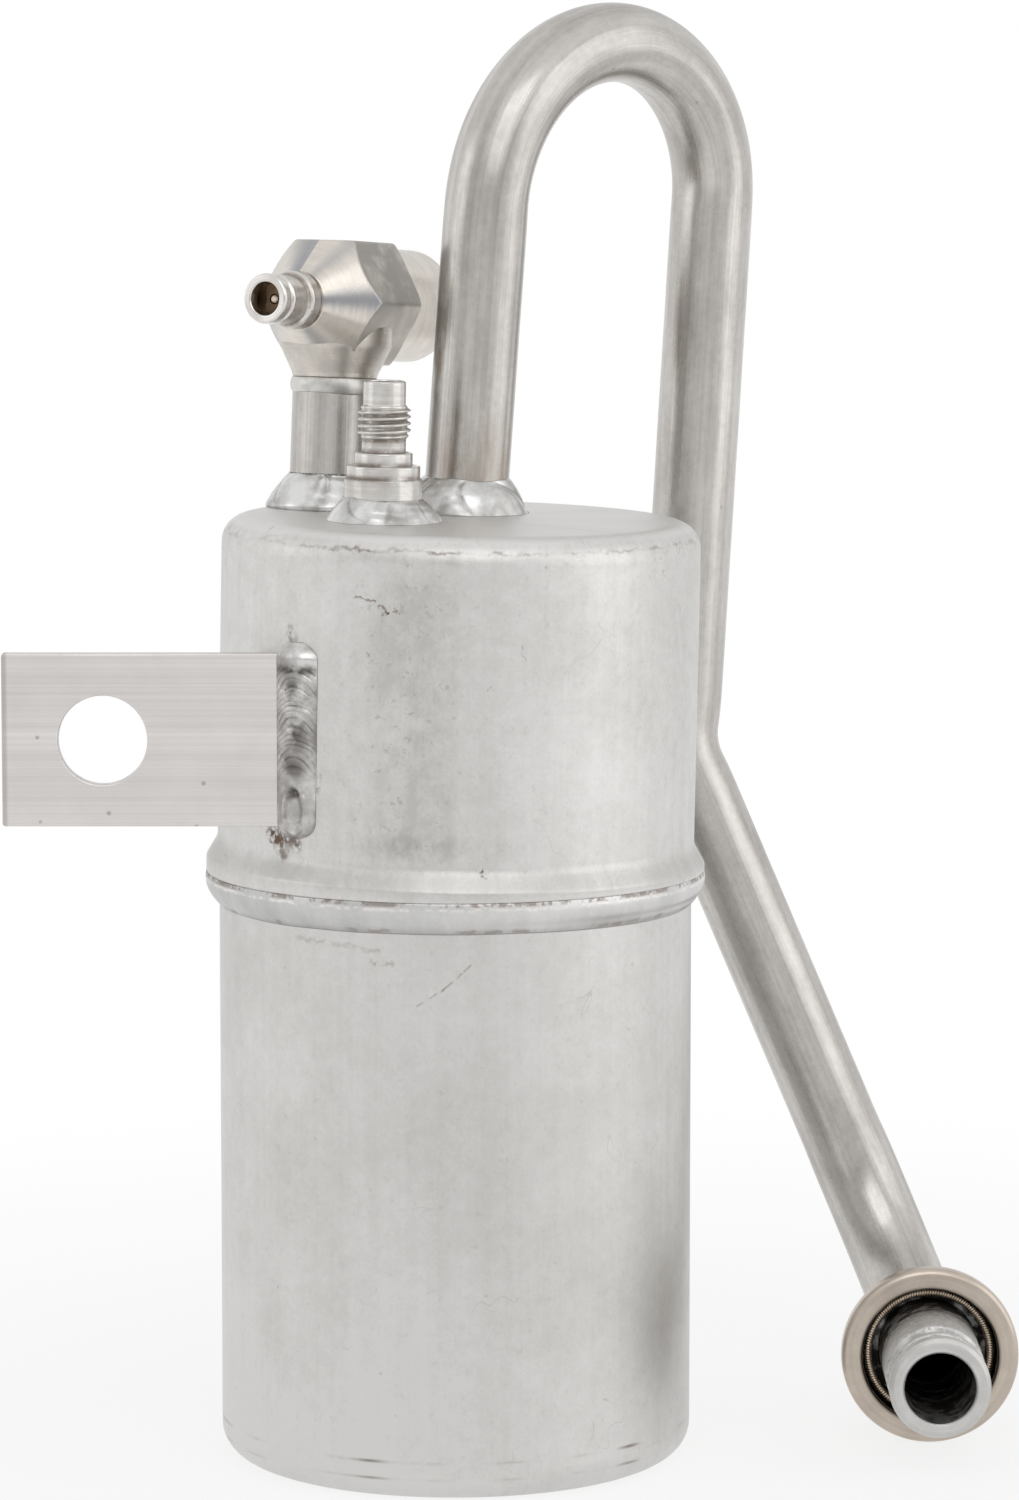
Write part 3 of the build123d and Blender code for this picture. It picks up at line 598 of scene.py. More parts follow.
@dataclass(frozen=True)
class TurnedFinish:
    """Machined metal with fine rings about its own axis, grime and painted shade in its creases, and painted
    reflection in dark sectors where asked.
    """

    name: str
    base: Triple = (226, 223, 219)
    shade: Triple = (196, 191, 185)
    dirt: Triple = (128, 114, 102)
    roughness: float = 0.2
    ring_pitch: float = 0.22
    ring_depth: float = 0.012
    chips: float = 0.0
    smooth_until: float = 5.6
    grime_and_shade: float = 0.35
    # Strength of the painted reflection: dark sectors round the cone.
    fan: float = 0.0
    reflection_from: float = 52.0
    reflection_dark: Triple = (138, 142, 150)
    hub_until: float = 0.0
    even_grime_and_shade: float = 0.0

    def build(self) -> bpy.types.Material:
        """Make the material. The lay attribute holds (cosine, sine, run in metres)."""
        recipe = Recipe(self.name)
        lay = recipe.lay()
        run = recipe.parts(lay)[2] / MM
        crease = recipe.crease()
        place = recipe.place()
        wander = recipe.noise(place, 160.0, 2.0)
        rings = (run * (2 * math.pi / self.ring_pitch) + wander * 6.0).sine() * 0.5 + 0.5
        bands = recipe.noise(recipe.stretch(lay, (0.25, 0.25, 1500)), 1.0, 3.0, 0.6)
        cloud = recipe.noise(place, 240.0, 4.0, 0.6)
        torn = run.step(self.smooth_until, self.smooth_until + 0.8) * (1.0 - crease).clip() * self.chips
        chip = recipe.noise(place, 950.0, 3.0, 0.7).step(0.53, 0.66) * torn
        pale = recipe.noise(place, 620.0, 2.0, 0.7).step(0.56, 0.64) * torn
        shade = ((bands - 0.5) * 1.1 + (cloud - 0.5) * 1.2 + 0.35 + chip * 0.5 - pale * 1.4).clip()
        # Crease darkening: grime in real grooves, and painted shade on hidden walls and cavities.
        dirt = (crease * self.grime_and_shade * (cloud.step(0.3, 0.62) + self.even_grime_and_shade)).clip()
        body = recipe.mix(shade, tone(*self.base), tone(*self.shade))
        # Painted reflection: dark cool sectors by angle round the cone.
        if self.fan:
            across, beside, _ = recipe.parts(lay)
            angle = beside.angle_from(across) * DEGREES + (bands - 0.5) * 8.0
            reflection_sector = sum(angle.hump(middle, half) * share for middle, half, share in PAINTED_REFLECTION_SECTORS)
            painted_reflection = (reflection_sector * (1.0 - crease)).clip() * run.step(self.reflection_from, self.reflection_from + 0.5) * self.fan
            body = recipe.mix(painted_reflection, body, tone(*self.reflection_dark))
            seam = run.hump(self.hub_until, 0.5) * cloud.step(0.3, 0.6)
            body = recipe.mix(seam * 0.7, body, tone(*SEAM_BROWN))
        rough = self.roughness + (cloud - 0.5) * 0.16 + dirt * 0.3 + chip * 0.2
        metal(recipe, recipe.mix(dirt, body, tone(*self.dirt)), rough, dirt, 0.5)
        recipe.relief(rings * 0.8 + (bands - 0.5) * 1.2 - chip * 6.0, self.ring_depth)
        return recipe.material


@dataclass(frozen=True)
class PlainFinish:
    """Smooth or moulded stuff with grain, for springs, brass, seals and plastic."""

    name: str
    base: Triple
    shade: Triple
    roughness: float
    metallic: float = 0.0
    grain: float = 900.0
    depth: float = 0.01

    def build(self) -> bpy.types.Material:
        """Make the material on Object coordinates."""
        recipe = Recipe(self.name)
        place = recipe.place()
        cloud = recipe.noise(place, self.grain * 0.12, 3.0)
        grain = recipe.noise(place, self.grain, 3.0, 0.6)
        shade = ((cloud - 0.5) * 2.0 + (grain - 0.5) * 0.8 + 0.4).clip()
        recipe.set(Base_Color=recipe.mix(shade, tone(*self.base), tone(*self.shade)), Metallic=self.metallic,
                   Roughness=(self.roughness + (cloud - 0.5) * 0.2).clip())
        recipe.relief(grain - 0.5 + (cloud - 0.5) * 0.4, self.depth)
        return recipe.material


@dataclass(frozen=True)
class WeaveFinish:
    """Woven or felted stuff: crossed threads with fibres between them."""

    name: str
    base: Triple
    shade: Triple
    pitch: float
    depth: float
    fibre: float

    def build(self) -> bpy.types.Material:
        """Make the material on Object coordinates, threads running round and up."""
        recipe = Recipe(self.name)
        place = recipe.place()
        x, y, z = recipe.parts(place)
        turn = 2 * math.pi / (self.pitch * MM)
        threads = (x * turn).sine() * (y * turn).sine() * 0.5 + (z * turn).sine() * 0.5
        fibres = recipe.noise(place, 1000.0 / self.pitch, 4.0, 0.7)
        mix = (threads * (1.0 - self.fibre) * 0.5 + (fibres - 0.5) * 2.0 * self.fibre + 0.5).clip()
        recipe.set(Base_Color=recipe.mix(mix, tone(*self.shade), tone(*self.base)), Roughness=0.85)
        recipe.relief(mix, self.depth)
        return recipe.material


# Surfaces


@dataclass
class Patch:
    """A closed surface: rows by columns of points, with its lay and crease values."""

    points: np.ndarray
    lay: np.ndarray
    crease: np.ndarray | None = None
    wrap_rows: bool = True
    start_pole: np.ndarray | None = None
    end_pole: np.ndarray | None = None

    def faces(self) -> tuple[np.ndarray, np.ndarray, np.ndarray, np.ndarray]:
        """Vertices, quads, triangles and (lay, crease) rows of this patch, facing outwards."""
        rows, columns = self.points.shape[:2]
        index = np.arange(rows * columns).reshape(rows, columns)
        right = np.roll(index, -1, axis=1)
        if self.wrap_rows:
            low, low_right = index, right
            high, high_right = np.roll(index, -1, axis=0), np.roll(right, -1, axis=0)
        else:
            low, low_right = index[:-1], right[:-1]
            high, high_right = index[1:], right[1:]
        quads = np.stack([low, low_right, high_right, high], axis=-1).reshape(-1, 4)
        verts = self.points.reshape(-1, 3)
        crease = np.zeros((rows, columns)) if self.crease is None else self.crease
        data = np.concatenate([self.lay.reshape(-1, 3), crease.reshape(-1, 1)], axis=1)
        triangles = np.zeros((0, 3), int)
        for pole, row, flip in ((self.start_pole, 0, True), (self.end_pole, rows - 1, False)):
            if pole is None:
                continue
            tip = len(verts)
            verts = np.vstack([verts, pole])
            data = np.vstack([data, data[index[row]].mean(axis=0)])
            fan = np.stack([index[row], right[row], np.full(columns, tip)], axis=-1)
            triangles = np.vstack([triangles, fan[:, ::-1] if flip else fan])
        corners = np.vstack([quads[:, [0, 1, 2]], quads[:, [0, 2, 3]], triangles])
        a, b, c = (verts[corners[:, i]] for i in range(3))
        if np.einsum("ij,ij->", a, np.cross(b, c)) < 0:
            quads, triangles = quads[:, ::-1], triangles[:, ::-1]
        return verts, quads, triangles, data


def build_mesh(name: str, patches: Sequence[Patch]) -> bpy.types.Object:
    """Join patches into one smooth mesh object at the origin.

    Args:
        name: the object's name.
        patches: its closed surfaces, in millimetres.

    Returns:
        The object, linked to the scene.
    """
    verts, faces, data, base = [], [], [], 0
    for patch in patches:
        points, quads, triangles, extra = patch.faces()
        verts.append(points)
        data.append(extra)
        faces += (quads + base).tolist() + (triangles + base).tolist()
        base += len(points)
    mesh = bpy.data.meshes.new(name)
    mesh.from_pydata((np.vstack(verts) * MM).tolist(), [], faces)
    mesh.polygons.foreach_set("use_smooth", np.ones(len(faces), bool))
    values = np.vstack(data).astype(np.float32)
    lay = mesh.attributes.new(LAY, "FLOAT_VECTOR", "POINT")
    lay.data.foreach_set("vector", values[:, :3].ravel())
    crease = mesh.attributes.new(CREASE, "FLOAT", "POINT")
    crease.data.foreach_set("value", values[:, 3].copy())
    mesh.update()
    made = bpy.data.objects.new(name, mesh)
    bpy.context.scene.collection.objects.link(made)
    return made


def make(name: str, patch: "Patch | list[Patch]", slot: Slot, material: bpy.types.Material,
         node: str) -> bpy.types.Object:
    """Build a piece from one or more patches and settle it for its node."""
    patches = patch if isinstance(patch, list) else [patch]
    return settle(build_mesh(name, patches), slot, material, node)


def settle(piece: bpy.types.Object, slot: Slot, material: bpy.types.Material,
           *nodes: str) -> bpy.types.Object:
    """Give a finished piece its material and body, and hide the nodes it stands for."""
    piece.data.materials.clear()
    piece.data.materials.append(material)
    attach(piece, CAN_BODY)
    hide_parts(*nodes)
    log.info("%s: %d faces for %s", piece.name, len(piece.data.polygons), ", ".join(nodes))
    return piece


def circle(columns: int) -> tuple[np.ndarray, np.ndarray, np.ndarray]:
    """Evenly spaced angles with their cosines and sines."""
    angle = np.linspace(0, 2 * math.pi, columns, endpoint=False)
    return angle, np.cos(angle), np.sin(angle)


def rings(radius: np.ndarray, height: np.ndarray, angle: np.ndarray) -> tuple[np.ndarray, np.ndarray]:
    """Points (r cos a, r sin a, h) of stacked rings, and their lay (cos a, sin a, h in metres)."""
    cosine, sine = np.cos(angle), np.sin(angle)
    height = height + 0 * cosine
    points = np.stack([radius * cosine, radius * sine, height + 0 * radius], axis=-1)
    lay = np.stack([0 * points[..., 0] + cosine, 0 * points[..., 0] + sine, points[..., 2] * MM], axis=-1)
    return points, lay


def waves(seed: int, count: int, top: int, *places: np.ndarray) -> np.ndarray:
    """Smooth noise about 0, with a period of one turn in each place.

    The sum of count sines, each of a whole number of turns up to top in every place, with a seeded
    phase and an amplitude that falls with its frequency.
    """
    chance = np.random.default_rng(seed)
    total = 0.0
    for _ in range(count):
        turns = chance.integers(-top, top + 1, len(places))
        phase = chance.uniform(0, 2 * math.pi)
        pitch = max(1.0, math.hypot(*turns))
        total = total + np.sin(sum(n * p for n, p in zip(turns, places)) + phase) / pitch**0.8
    return total / math.sqrt(count)


@dataclass(frozen=True)
class Frame:
    """A place with three axes, which local points are carried to."""

    origin: np.ndarray
    across: np.ndarray
    axis: np.ndarray

    def carry(self, local: np.ndarray) -> np.ndarray:
        """World points: the origin plus the local numbers times the across, side and axis directions."""
        side = np.cross(self.axis, self.across)
        return self.origin + local @ np.vstack([self.across, side, self.axis])

    def shifted(self, height: float) -> "Frame":
        """The same axes further along the axis."""
        return Frame(self.origin + self.axis * height, self.across, self.axis)

    def turned(self) -> "Frame":
        """The frame looking along its across direction, as a bar laid on its side."""
        return Frame(self.origin, -self.axis, self.across)


UPRIGHT = Frame(np.zeros(3), np.array([1.0, 0, 0]), np.array([0, 0, 1.0]))


def rounded(corners: Sequence[Sequence[float]], closed: bool = True, step: float = 4.0) -> np.ndarray:
    """Points of an outline whose corners are arcs.

    Each corner (x, y, radius) becomes an arc of that radius tangent to both sides, and each side gets
    a point close to its ends, so that shading stays flat, and more where it is longer than step.

    Args:
        corners: the corners in order, with radius 0.03 where none is given.
        closed: whether the last corner joins the first.
        step: longest side without a point.

    Returns:
        The points, one row each.
    """
    spots = np.array([c[:2] for c in corners], float)
    radii = [c[2] if len(c) == 3 else 0.03 for c in corners]
    count = len(spots)
    pieces = []
    for i in range(count):
        if not closed and i in (0, count - 1):
            pieces.append(spots[i][None])
            continue
        back, ahead = spots[i - 1] - spots[i], spots[(i + 1) % count] - spots[i]
        back_len, ahead_len = np.linalg.norm(back), np.linalg.norm(ahead)
        back, ahead = back / back_len, ahead / ahead_len
        cosine = float(np.clip(back @ ahead, -1, 1))
        turn = math.pi - math.acos(cosine)
        if turn < 1e-3:
            pieces.append(spots[i][None])
            continue
        reach = min(radii[i] * math.tan(turn / 2), 0.49 * back_len, 0.49 * ahead_len)
        radius = reach / math.tan(turn / 2)
        middle = (back + ahead) / np.linalg.norm(back + ahead)
        centre = spots[i] + middle * (radius / math.cos(turn / 2))
        first = spots[i] + back * reach - centre
        steps = max(2, math.ceil(math.degrees(turn) / (9 if radius > 0.4 else 30)))
        swing = np.linspace(0, turn, steps + 1)
        sign = np.sign(back[0] * ahead[1] - back[1] * ahead[0]) * -1
        pieces.append(centre + np.stack([
            first[0] * np.cos(swing) - sign * first[1] * np.sin(swing),
            sign * first[0] * np.sin(swing) + first[1] * np.cos(swing)], axis=1))
    points = [pieces[0]]
    for i in range(1, count + (1 if closed else 0)):
        start, end = pieces[i - 1][-1], pieces[i % count][0]
        gap = float(np.linalg.norm(end - start))
        if gap > 0.6:
            inner = np.linspace(0.12 / gap, 1 - 0.12 / gap, max(2, math.ceil(gap / step) + 1))
            points.append(start + (end - start) * inner[:, None])
        if i < count:
            points.append(pieces[i])
    return np.vstack(points)


def lathe(outline: np.ndarray, place: Frame, columns: int = 128, closed: bool = True) -> Patch:
    """Surface of revolution: each outline point (radius, height) turned about the frame's axis.

    The lay value is (cosine, sine, length along the outline in metres). An outline that isn't closed
    starts and ends on the axis, and its two ends become poles.
    """
    run = np.concatenate([[0], np.cumsum(np.linalg.norm(np.diff(outline, axis=0), axis=1))])
    angle = circle(columns)[0]
    poles = [None, None]
    rows = outline
    if not closed:
        poles = [place.carry(np.array([[0, 0, outline[i][1]]]))[0] for i in (0, -1)]
        rows, run = outline[1:-1], run[1:-1]
    local, lay = rings(rows[:, :1], rows[:, 1:], angle)
    lay[..., 2] = run[:, None] * MM
    return Patch(place.carry(local), lay, wrap_rows=closed, start_pole=poles[0], end_pole=poles[1])


@dataclass(frozen=True)
class Route:
    """A tube's centre line: straight runs joined by tangent arcs, with its section frames."""

    corners: tuple[Triple, ...]
    radii: tuple[float, ...]
    step: float = 1.6

    def stations(self) -> tuple[np.ndarray, ...]:
        """Points along the line.

        Returns:
            Centres, first and second section directions, inward bend directions, bend shares and
            lengths from the start, one row for each station.
        """
        spots = np.array(self.corners, float)
        ways = np.diff(spots, axis=0)
        lengths = np.linalg.norm(ways, axis=1)
        ways = ways / lengths[:, None]
        up = np.cross(ways[0], [0.0, 1.0, 0.0])
        up /= np.linalg.norm(up)
        centres, firsts, seconds, inwards, bends = [], [], [], [], []
        spot = spots[0]
        for i, way in enumerate(ways):
            last = i == len(ways) - 1
            turn = 0.0 if last else math.acos(float(np.clip(way @ ways[i + 1], -1, 1)))
            reach = 0.0 if last else self.radii[i] * math.tan(turn / 2)
            end = spots[i + 1] - way * reach
            run = float(np.linalg.norm(end - spot))
            count = max(2, math.ceil(run / self.step)) if run > 0.5 else 0
            share = np.linspace(0, 1, count, endpoint=last)[:, None]
            centres.append(spot + (end - spot) * share)
            firsts.append(np.repeat(up[None], len(share), axis=0))
            seconds.append(np.repeat(np.cross(way, up)[None], len(share), axis=0))
            inwards.append(np.zeros((len(share), 3)))
            bends.append(np.zeros(len(share)))
            if last:
                break
            inward = ways[i + 1] - way * math.cos(turn)
            inward /= np.linalg.norm(inward)
            side = np.cross(way, inward)
            swing = np.linspace(0, turn, max(6, math.ceil(turn * self.radii[i] / self.step)), endpoint=False)
            swing = swing[:, None]
            in_turn = inward * np.cos(swing) - way * np.sin(swing)
            centres.append(end + self.radii[i] * (way * np.sin(swing) + inward * (1 - np.cos(swing))))
            ahead = way * np.cos(swing) + inward * np.sin(swing)
            first = in_turn * (up @ inward) + side * (up @ side)
            firsts.append(first)
            seconds.append(np.cross(ahead, first))
            inwards.append(in_turn)
            bends.append(np.full(len(swing), min(1.0, 30.0 / self.radii[i])))
            out = inward * math.cos(turn) - way * math.sin(turn)
            up = out * (up @ inward) + side * (up @ side)
            spot = spots[i + 1] + ways[i + 1] * reach
        line = np.vstack(centres)
        run = np.concatenate([[0], np.cumsum(np.linalg.norm(np.diff(line, axis=0), axis=1))])
        bend, inward = np.concatenate(bends), np.vstack(inwards)
        ease = np.hanning(9)[:, None] / np.hanning(9).sum()
        pad = np.pad(inward * bend[:, None], ((4, 4), (0, 0)), mode="edge")
        eased = sum(pad[i:i + len(bend)] * ease[i] for i in range(9))
        share = np.linalg.norm(eased, axis=1)
        inward = eased / np.maximum(share, 1e-6)[:, None]
        return line, np.vstack(firsts), np.vstack(seconds), inward, share, run


def tube(route: Route, outer: float, bore: float, columns: int = 88, flatten: float = 0.05) -> Patch:
    """Tube along a route: the outer wall out, the inner wall back, joined at both ends.

    A section point is the centre plus radius times (cosine, sine) in the section's two directions. In
    a bend it moves towards the middle along the inward direction by flatten, and out across it by
    half of that.
    """
    line, first, second, inward, share, run = route.stations()
    _, cosine, sine = circle(columns)
    ring = first[:, None] * cosine[None, :, None] + second[:, None] * sine[None, :, None]
    depth = np.einsum("rck,rk->rc", ring, inward)[..., None] * inward[:, None]
    squeeze = (flatten * share)[:, None, None]
    oval = ring - depth * squeeze + (ring - depth) * (squeeze / 2)
    points = np.vstack([line[:, None] + oval * outer, (line[:, None] + oval * bore)[::-1]])
    rows = len(line)
    lay = np.stack([np.tile(cosine, (rows, 1)), np.tile(sine, (rows, 1)),
                    np.tile(run[:, None] * MM, (1, columns))], axis=-1)
    inner = np.repeat(np.repeat([0.0, 1.0], rows)[:, None], columns, axis=1)
    return Patch(points, np.vstack([lay, lay[::-1]]), inner)


# Sub-assemblies


@dataclass
class Can:
    """The drawn two-part can and the weld band round its seam."""

    radius: float = 44.45
    wall: float = 2.4
    bottom_corner: float = 6.0
    seam: float = 111.5
    lap: float = 5.5
    gap: float = 0.25
    upper_step: float = 0.4
    upper_height: float = 66.3
    lean: float = 1.1
    top_corner: float = 5.0
    bell_wall: float = 2.2
    shoulder: float = 2.1
    bell: float = 5.7
    head_room: float = 1.6
    band_drop: float = 6.1
    columns: int = 240
    wave: float = 0.035

    @property
    def upper_radius(self) -> float:
        """Outer radius of the upper half."""
        return self.radius + self.upper_step

    @property
    def bell_radius(self) -> float:
        """Outer radius of the belled end."""
        return self.radius + self.gap + self.bell_wall

    @property
    def top(self) -> float:
        """Height of the top along the leaning axis."""
        return self.seam + self.upper_height

    @property
    def up(self) -> np.ndarray:
        """Axis of the upper half."""
        tilt = math.radians(self.lean)
        return np.array([math.sin(tilt), 0, math.cos(tilt)])

    def top_at(self, x: float) -> float:
        """Height of the leaning top face at an x."""
        tilt = math.radians(self.lean)
        return self.seam + (self.upper_height - x * math.sin(tilt)) / math.cos(tilt)

    def upper_frame(self) -> Frame:
        """Frame of the upper half, whose heights count from the bottom of the can."""
        origin = np.array([0, 0, self.seam]) - self.up * self.seam
        return Frame(origin, np.cross([0, 1.0, 0], self.up), self.up)

    def _wavy(self, patch: Patch, axis: Frame, seed: int, limit: float) -> Patch:
        """Ease the wall in and out by a few hundredths, as a drawn wall is."""
        _, cosine, sine = circle(self.columns)
        height = patch.lay[..., 2] / MM
        turn = np.arctan2(sine, cosine)[None] + 0 * height
        outward = axis.across * cosine[:, None] + np.cross(axis.axis, axis.across) * sine[:, None]
        swell = waves(seed, 14, 5, turn, height / 30.0) * self.wave
        ease = np.clip((limit - np.abs(height - limit)) / 8.0, 0, 1)
        swell = (swell * ease - self.wave)[..., None] * (ease > 0)[..., None]
        patch.points = patch.points + outward[None] * swell
        return patch

    def lower(self, material: bpy.types.Material) -> bpy.types.Object:
        """Build the lower half: flat bottom, corner arc, wall, rim and the inner wall back."""
        inner, corner = self.radius - self.wall, self.bottom_corner
        rim = self.seam + self.lap
        outline = rounded([
            (0, 0), (self.radius, 0, corner), (self.radius, rim, 0.3), (inner, rim, 0.3),
            (inner, self.wall, corner - self.wall), (0, self.wall)], closed=False, step=2.4)
        patch = lathe(outline, UPRIGHT, self.columns, closed=False)
        patch.lay[..., 2] = patch.points[..., 2] * MM
        patch = self._wavy(patch, UPRIGHT, 3, self.seam / 2)
        return make("lower_can", patch, Slot.SHELL, material, "lower_shell")

    def upper(self, material: bpy.types.Material, holes: Sequence[tuple[Frame, float]]) -> bpy.types.Object:
        """Build the upper half, leaning and trimmed level at its lip, with the holes for the tubes."""
        inner, lap = self.upper_radius - self.wall, self.radius + self.gap
        lap_top = self.seam + self.lap + self.head_room
        slope = (self.bell - self.shoulder) * (lap - inner) / (self.bell_radius - self.upper_radius)
        outline = rounded([
            (0, self.top), (self.upper_radius, self.top, self.top_corner),
            (self.upper_radius, self.seam + self.bell, 3.0),
            (self.bell_radius, self.seam + self.shoulder, 1.2), (self.bell_radius, self.seam, 0.45),
            (lap, self.seam, 0.2), (lap, lap_top, 0.4), (inner, lap_top + slope, 0.4),
            (inner, self.top - self.wall, self.top_corner - self.wall), (0, self.top - self.wall)],
            closed=False, step=2.4)
        upper = self.upper_frame()
        patch = lathe(outline, upper, self.columns, closed=False)
        patch.lay[..., 2] = outline[1:-1, 1:] * MM
        _, cosine, _ = circle(self.columns)
        radius, height = outline[1:-1, :1], outline[1:-1, 1:]
        level = np.clip(1 - (height - self.seam) / self.shoulder, 0, 1)
        level = level * (height < self.seam + self.bell)
        trim = radius * cosine * math.tan(math.radians(self.lean)) * level
        patch.points = patch.points + trim[..., None] * upper.axis
        patch = self._wavy(patch, upper, 5, (self.seam + self.bell + self.top) / 2)
        piece = build_mesh("upper_can", [patch])
        cut_holes(piece, holes)
        return settle(piece, Slot.SHELL, material, "upper_shell")

    def band(self, material: bpy.types.Material) -> bpy.types.Object:
        """Build the weld band.

        Its outer face runs down from the lip by (radius, height) = (start + fall, seam - t drop), where
        fall is the t to the 2.2 share of the step in, and its toe and swell wander round the can.
        """
        angle = circle(360)[0]
        share = np.linspace(0, 1, 26)[:, None]
        wander = waves(8, 20, 22, angle)[None] * 0.32
        drop = self.band_drop + wander
        step_in = self.bell_radius - self.radius
        swell = np.sin(math.pi * share) * (0.35 + 0.12 * waves(9, 24, 30, angle)[None])
        furrow = np.exp(-(((share - 0.72 - 0.06 * waves(10, 10, 9, angle)[None]) / 0.1) ** 2))
        furrow = furrow * np.clip(waves(11, 10, 6, angle)[None] + 0.5, 0, 1)
        radius = self.bell_radius - 0.02 - step_in * 0.99 * share**2.2 + swell - furrow * 0.22
        height = self.seam + 0.12 - drop * share
        inner = np.array([[self.radius + 0.01, self.seam - self.band_drop * 0.6],
                          [self.radius + 0.01, self.seam - 0.02]])
        radius = np.vstack([radius, np.repeat(inner[:, :1], len(angle), axis=1)])
        height = np.vstack([height, np.repeat(inner[:, 1:], len(angle), axis=1)])
        points, lay = rings(radius, height, angle)
        crease = np.vstack([furrow, np.zeros((2, len(angle)))])
        return make("seam_band", Patch(points, lay, crease), Slot.WELD, material, "girth_weld")


def cut_holes(piece: bpy.types.Object, holes: Sequence[tuple[Frame, float]]) -> None:
    """Cut round holes through a wall with Boolean modifiers, and apply them.

    Args:
        piece: the object that is cut.
        holes: a frame on the wall and a radius for each hole.
    """
    bars = []
    for number, (place, radius) in enumerate(holes):
        outline = np.array([(0, -9.0), (radius, -9.0), (radius, 5.0), (0, 5.0)])
        bars.append(build_mesh(f"hole_bar_{number}", [lathe(outline, place, 64, closed=False)]))
        cut = piece.modifiers.new(f"hole_{number}", "BOOLEAN")
        cut.operation = "DIFFERENCE"
        cut.solver = "EXACT"
        cut.object = bars[-1]
    shown = piece.evaluated_get(bpy.context.evaluated_depsgraph_get())
    cut_mesh = bpy.data.meshes.new_from_object(shown)
    piece.modifiers.clear()
    piece.data = cut_mesh
    for bar in bars:
        bpy.data.objects.remove(bar)


@dataclass
class FootBead:
    """A ring of overlapping weld puddles round the foot of a tube or stub."""

    name: str
    node: str
    place: Frame
    toe: float
    height: float
    side: float
    puddles: int
    swell: float
    seed: int
    floor_up: np.ndarray
    columns: int = 260
    rows: int = 46

    def build(self, material: bpy.types.Material) -> bpy.types.Object:
        """Build the bead.

        The flank runs from the side at full height to the toe at t = 1 by radius = side + flare t^1.5 and
        height = full (1 - t)^0.9. Each puddle lifts it by a dome, and the highest dome counts, so that
        sharp valleys stay between them. The crease value is 1 where two domes meet.
        """
        angle = circle(self.columns)[0]
        share = np.linspace(0, 1, self.rows)[:, None]
        chance = np.random.default_rng(self.seed)
        best, second = np.zeros((self.rows, self.columns)), np.zeros((self.rows, self.columns))
        for i in range(self.puddles):
            middle = 2 * math.pi * (i + chance.uniform(-0.22, 0.22)) / self.puddles
            width = 2 * math.pi / self.puddles * chance.uniform(0.75, 1.05)
            low = chance.uniform(0.3, 0.62)
            tall = chance.uniform(0.55, 0.8)
            slant = chance.uniform(-0.7, 0.7)
            off = (angle[None] - middle + slant * (share - low) + math.pi) % (2 * math.pi) - math.pi
            dome = np.sqrt(np.clip(1 - (off / width) ** 2 - ((share - low) / tall) ** 2, 0, 1))
            dome = dome * chance.uniform(0.7, 1.1)
            second = np.maximum(np.minimum(best, dome), second)
            best = np.maximum(best, dome)
        edge = np.sin(math.pi * share) ** 0.6
        soft = best - 0.22 * np.exp(-(best - second) * 8)
        lift = soft * self.swell * edge + waves(self.seed + 1, 30, 9, angle[None], share * 3) * 0.26 * edge
        flare = self.toe - self.side
        ragged_toe = 1 + 0.1 * waves(self.seed + 2, 12, 7, angle)[None]
        ragged_top = 1 + 0.12 * waves(self.seed + 3, 14, 9, angle)[None]
        radius = self.side + flare * share**1.5 * ragged_toe + lift * 0.8 + 0.02
        height = self.height * (1 - share) ** 0.9 * ragged_top + lift * 0.35 * (1 - share)
        radius = np.vstack([radius, np.full((2, self.columns), self.side + 0.02)])
        height = np.vstack([height, np.zeros(self.columns), np.full(self.columns, self.height * 0.96)])
        local, lay = rings(radius, height, angle)
        points = self.place.carry(local)
        above = (points - self.place.origin) @ self.floor_up
        drop = above / float(self.place.axis @ self.floor_up)
        on_floor = np.zeros(above.shape, bool)
        on_floor[self.rows - 1] = on_floor[self.rows] = True
        under = (above < 0.02) | on_floor
        points = points - np.where(under, drop - 0.02, 0)[..., None] * self.place.axis
        crease = np.clip(1 - (best - second) * 7, 0, 1) * edge * (best > 0.15) * 0.7
        crease = np.vstack([crease, np.zeros((2, self.columns))])
        lay[..., 2] = above * MM
        return make(self.name, Patch(points, lay, crease), Slot.WELD, material, self.node)


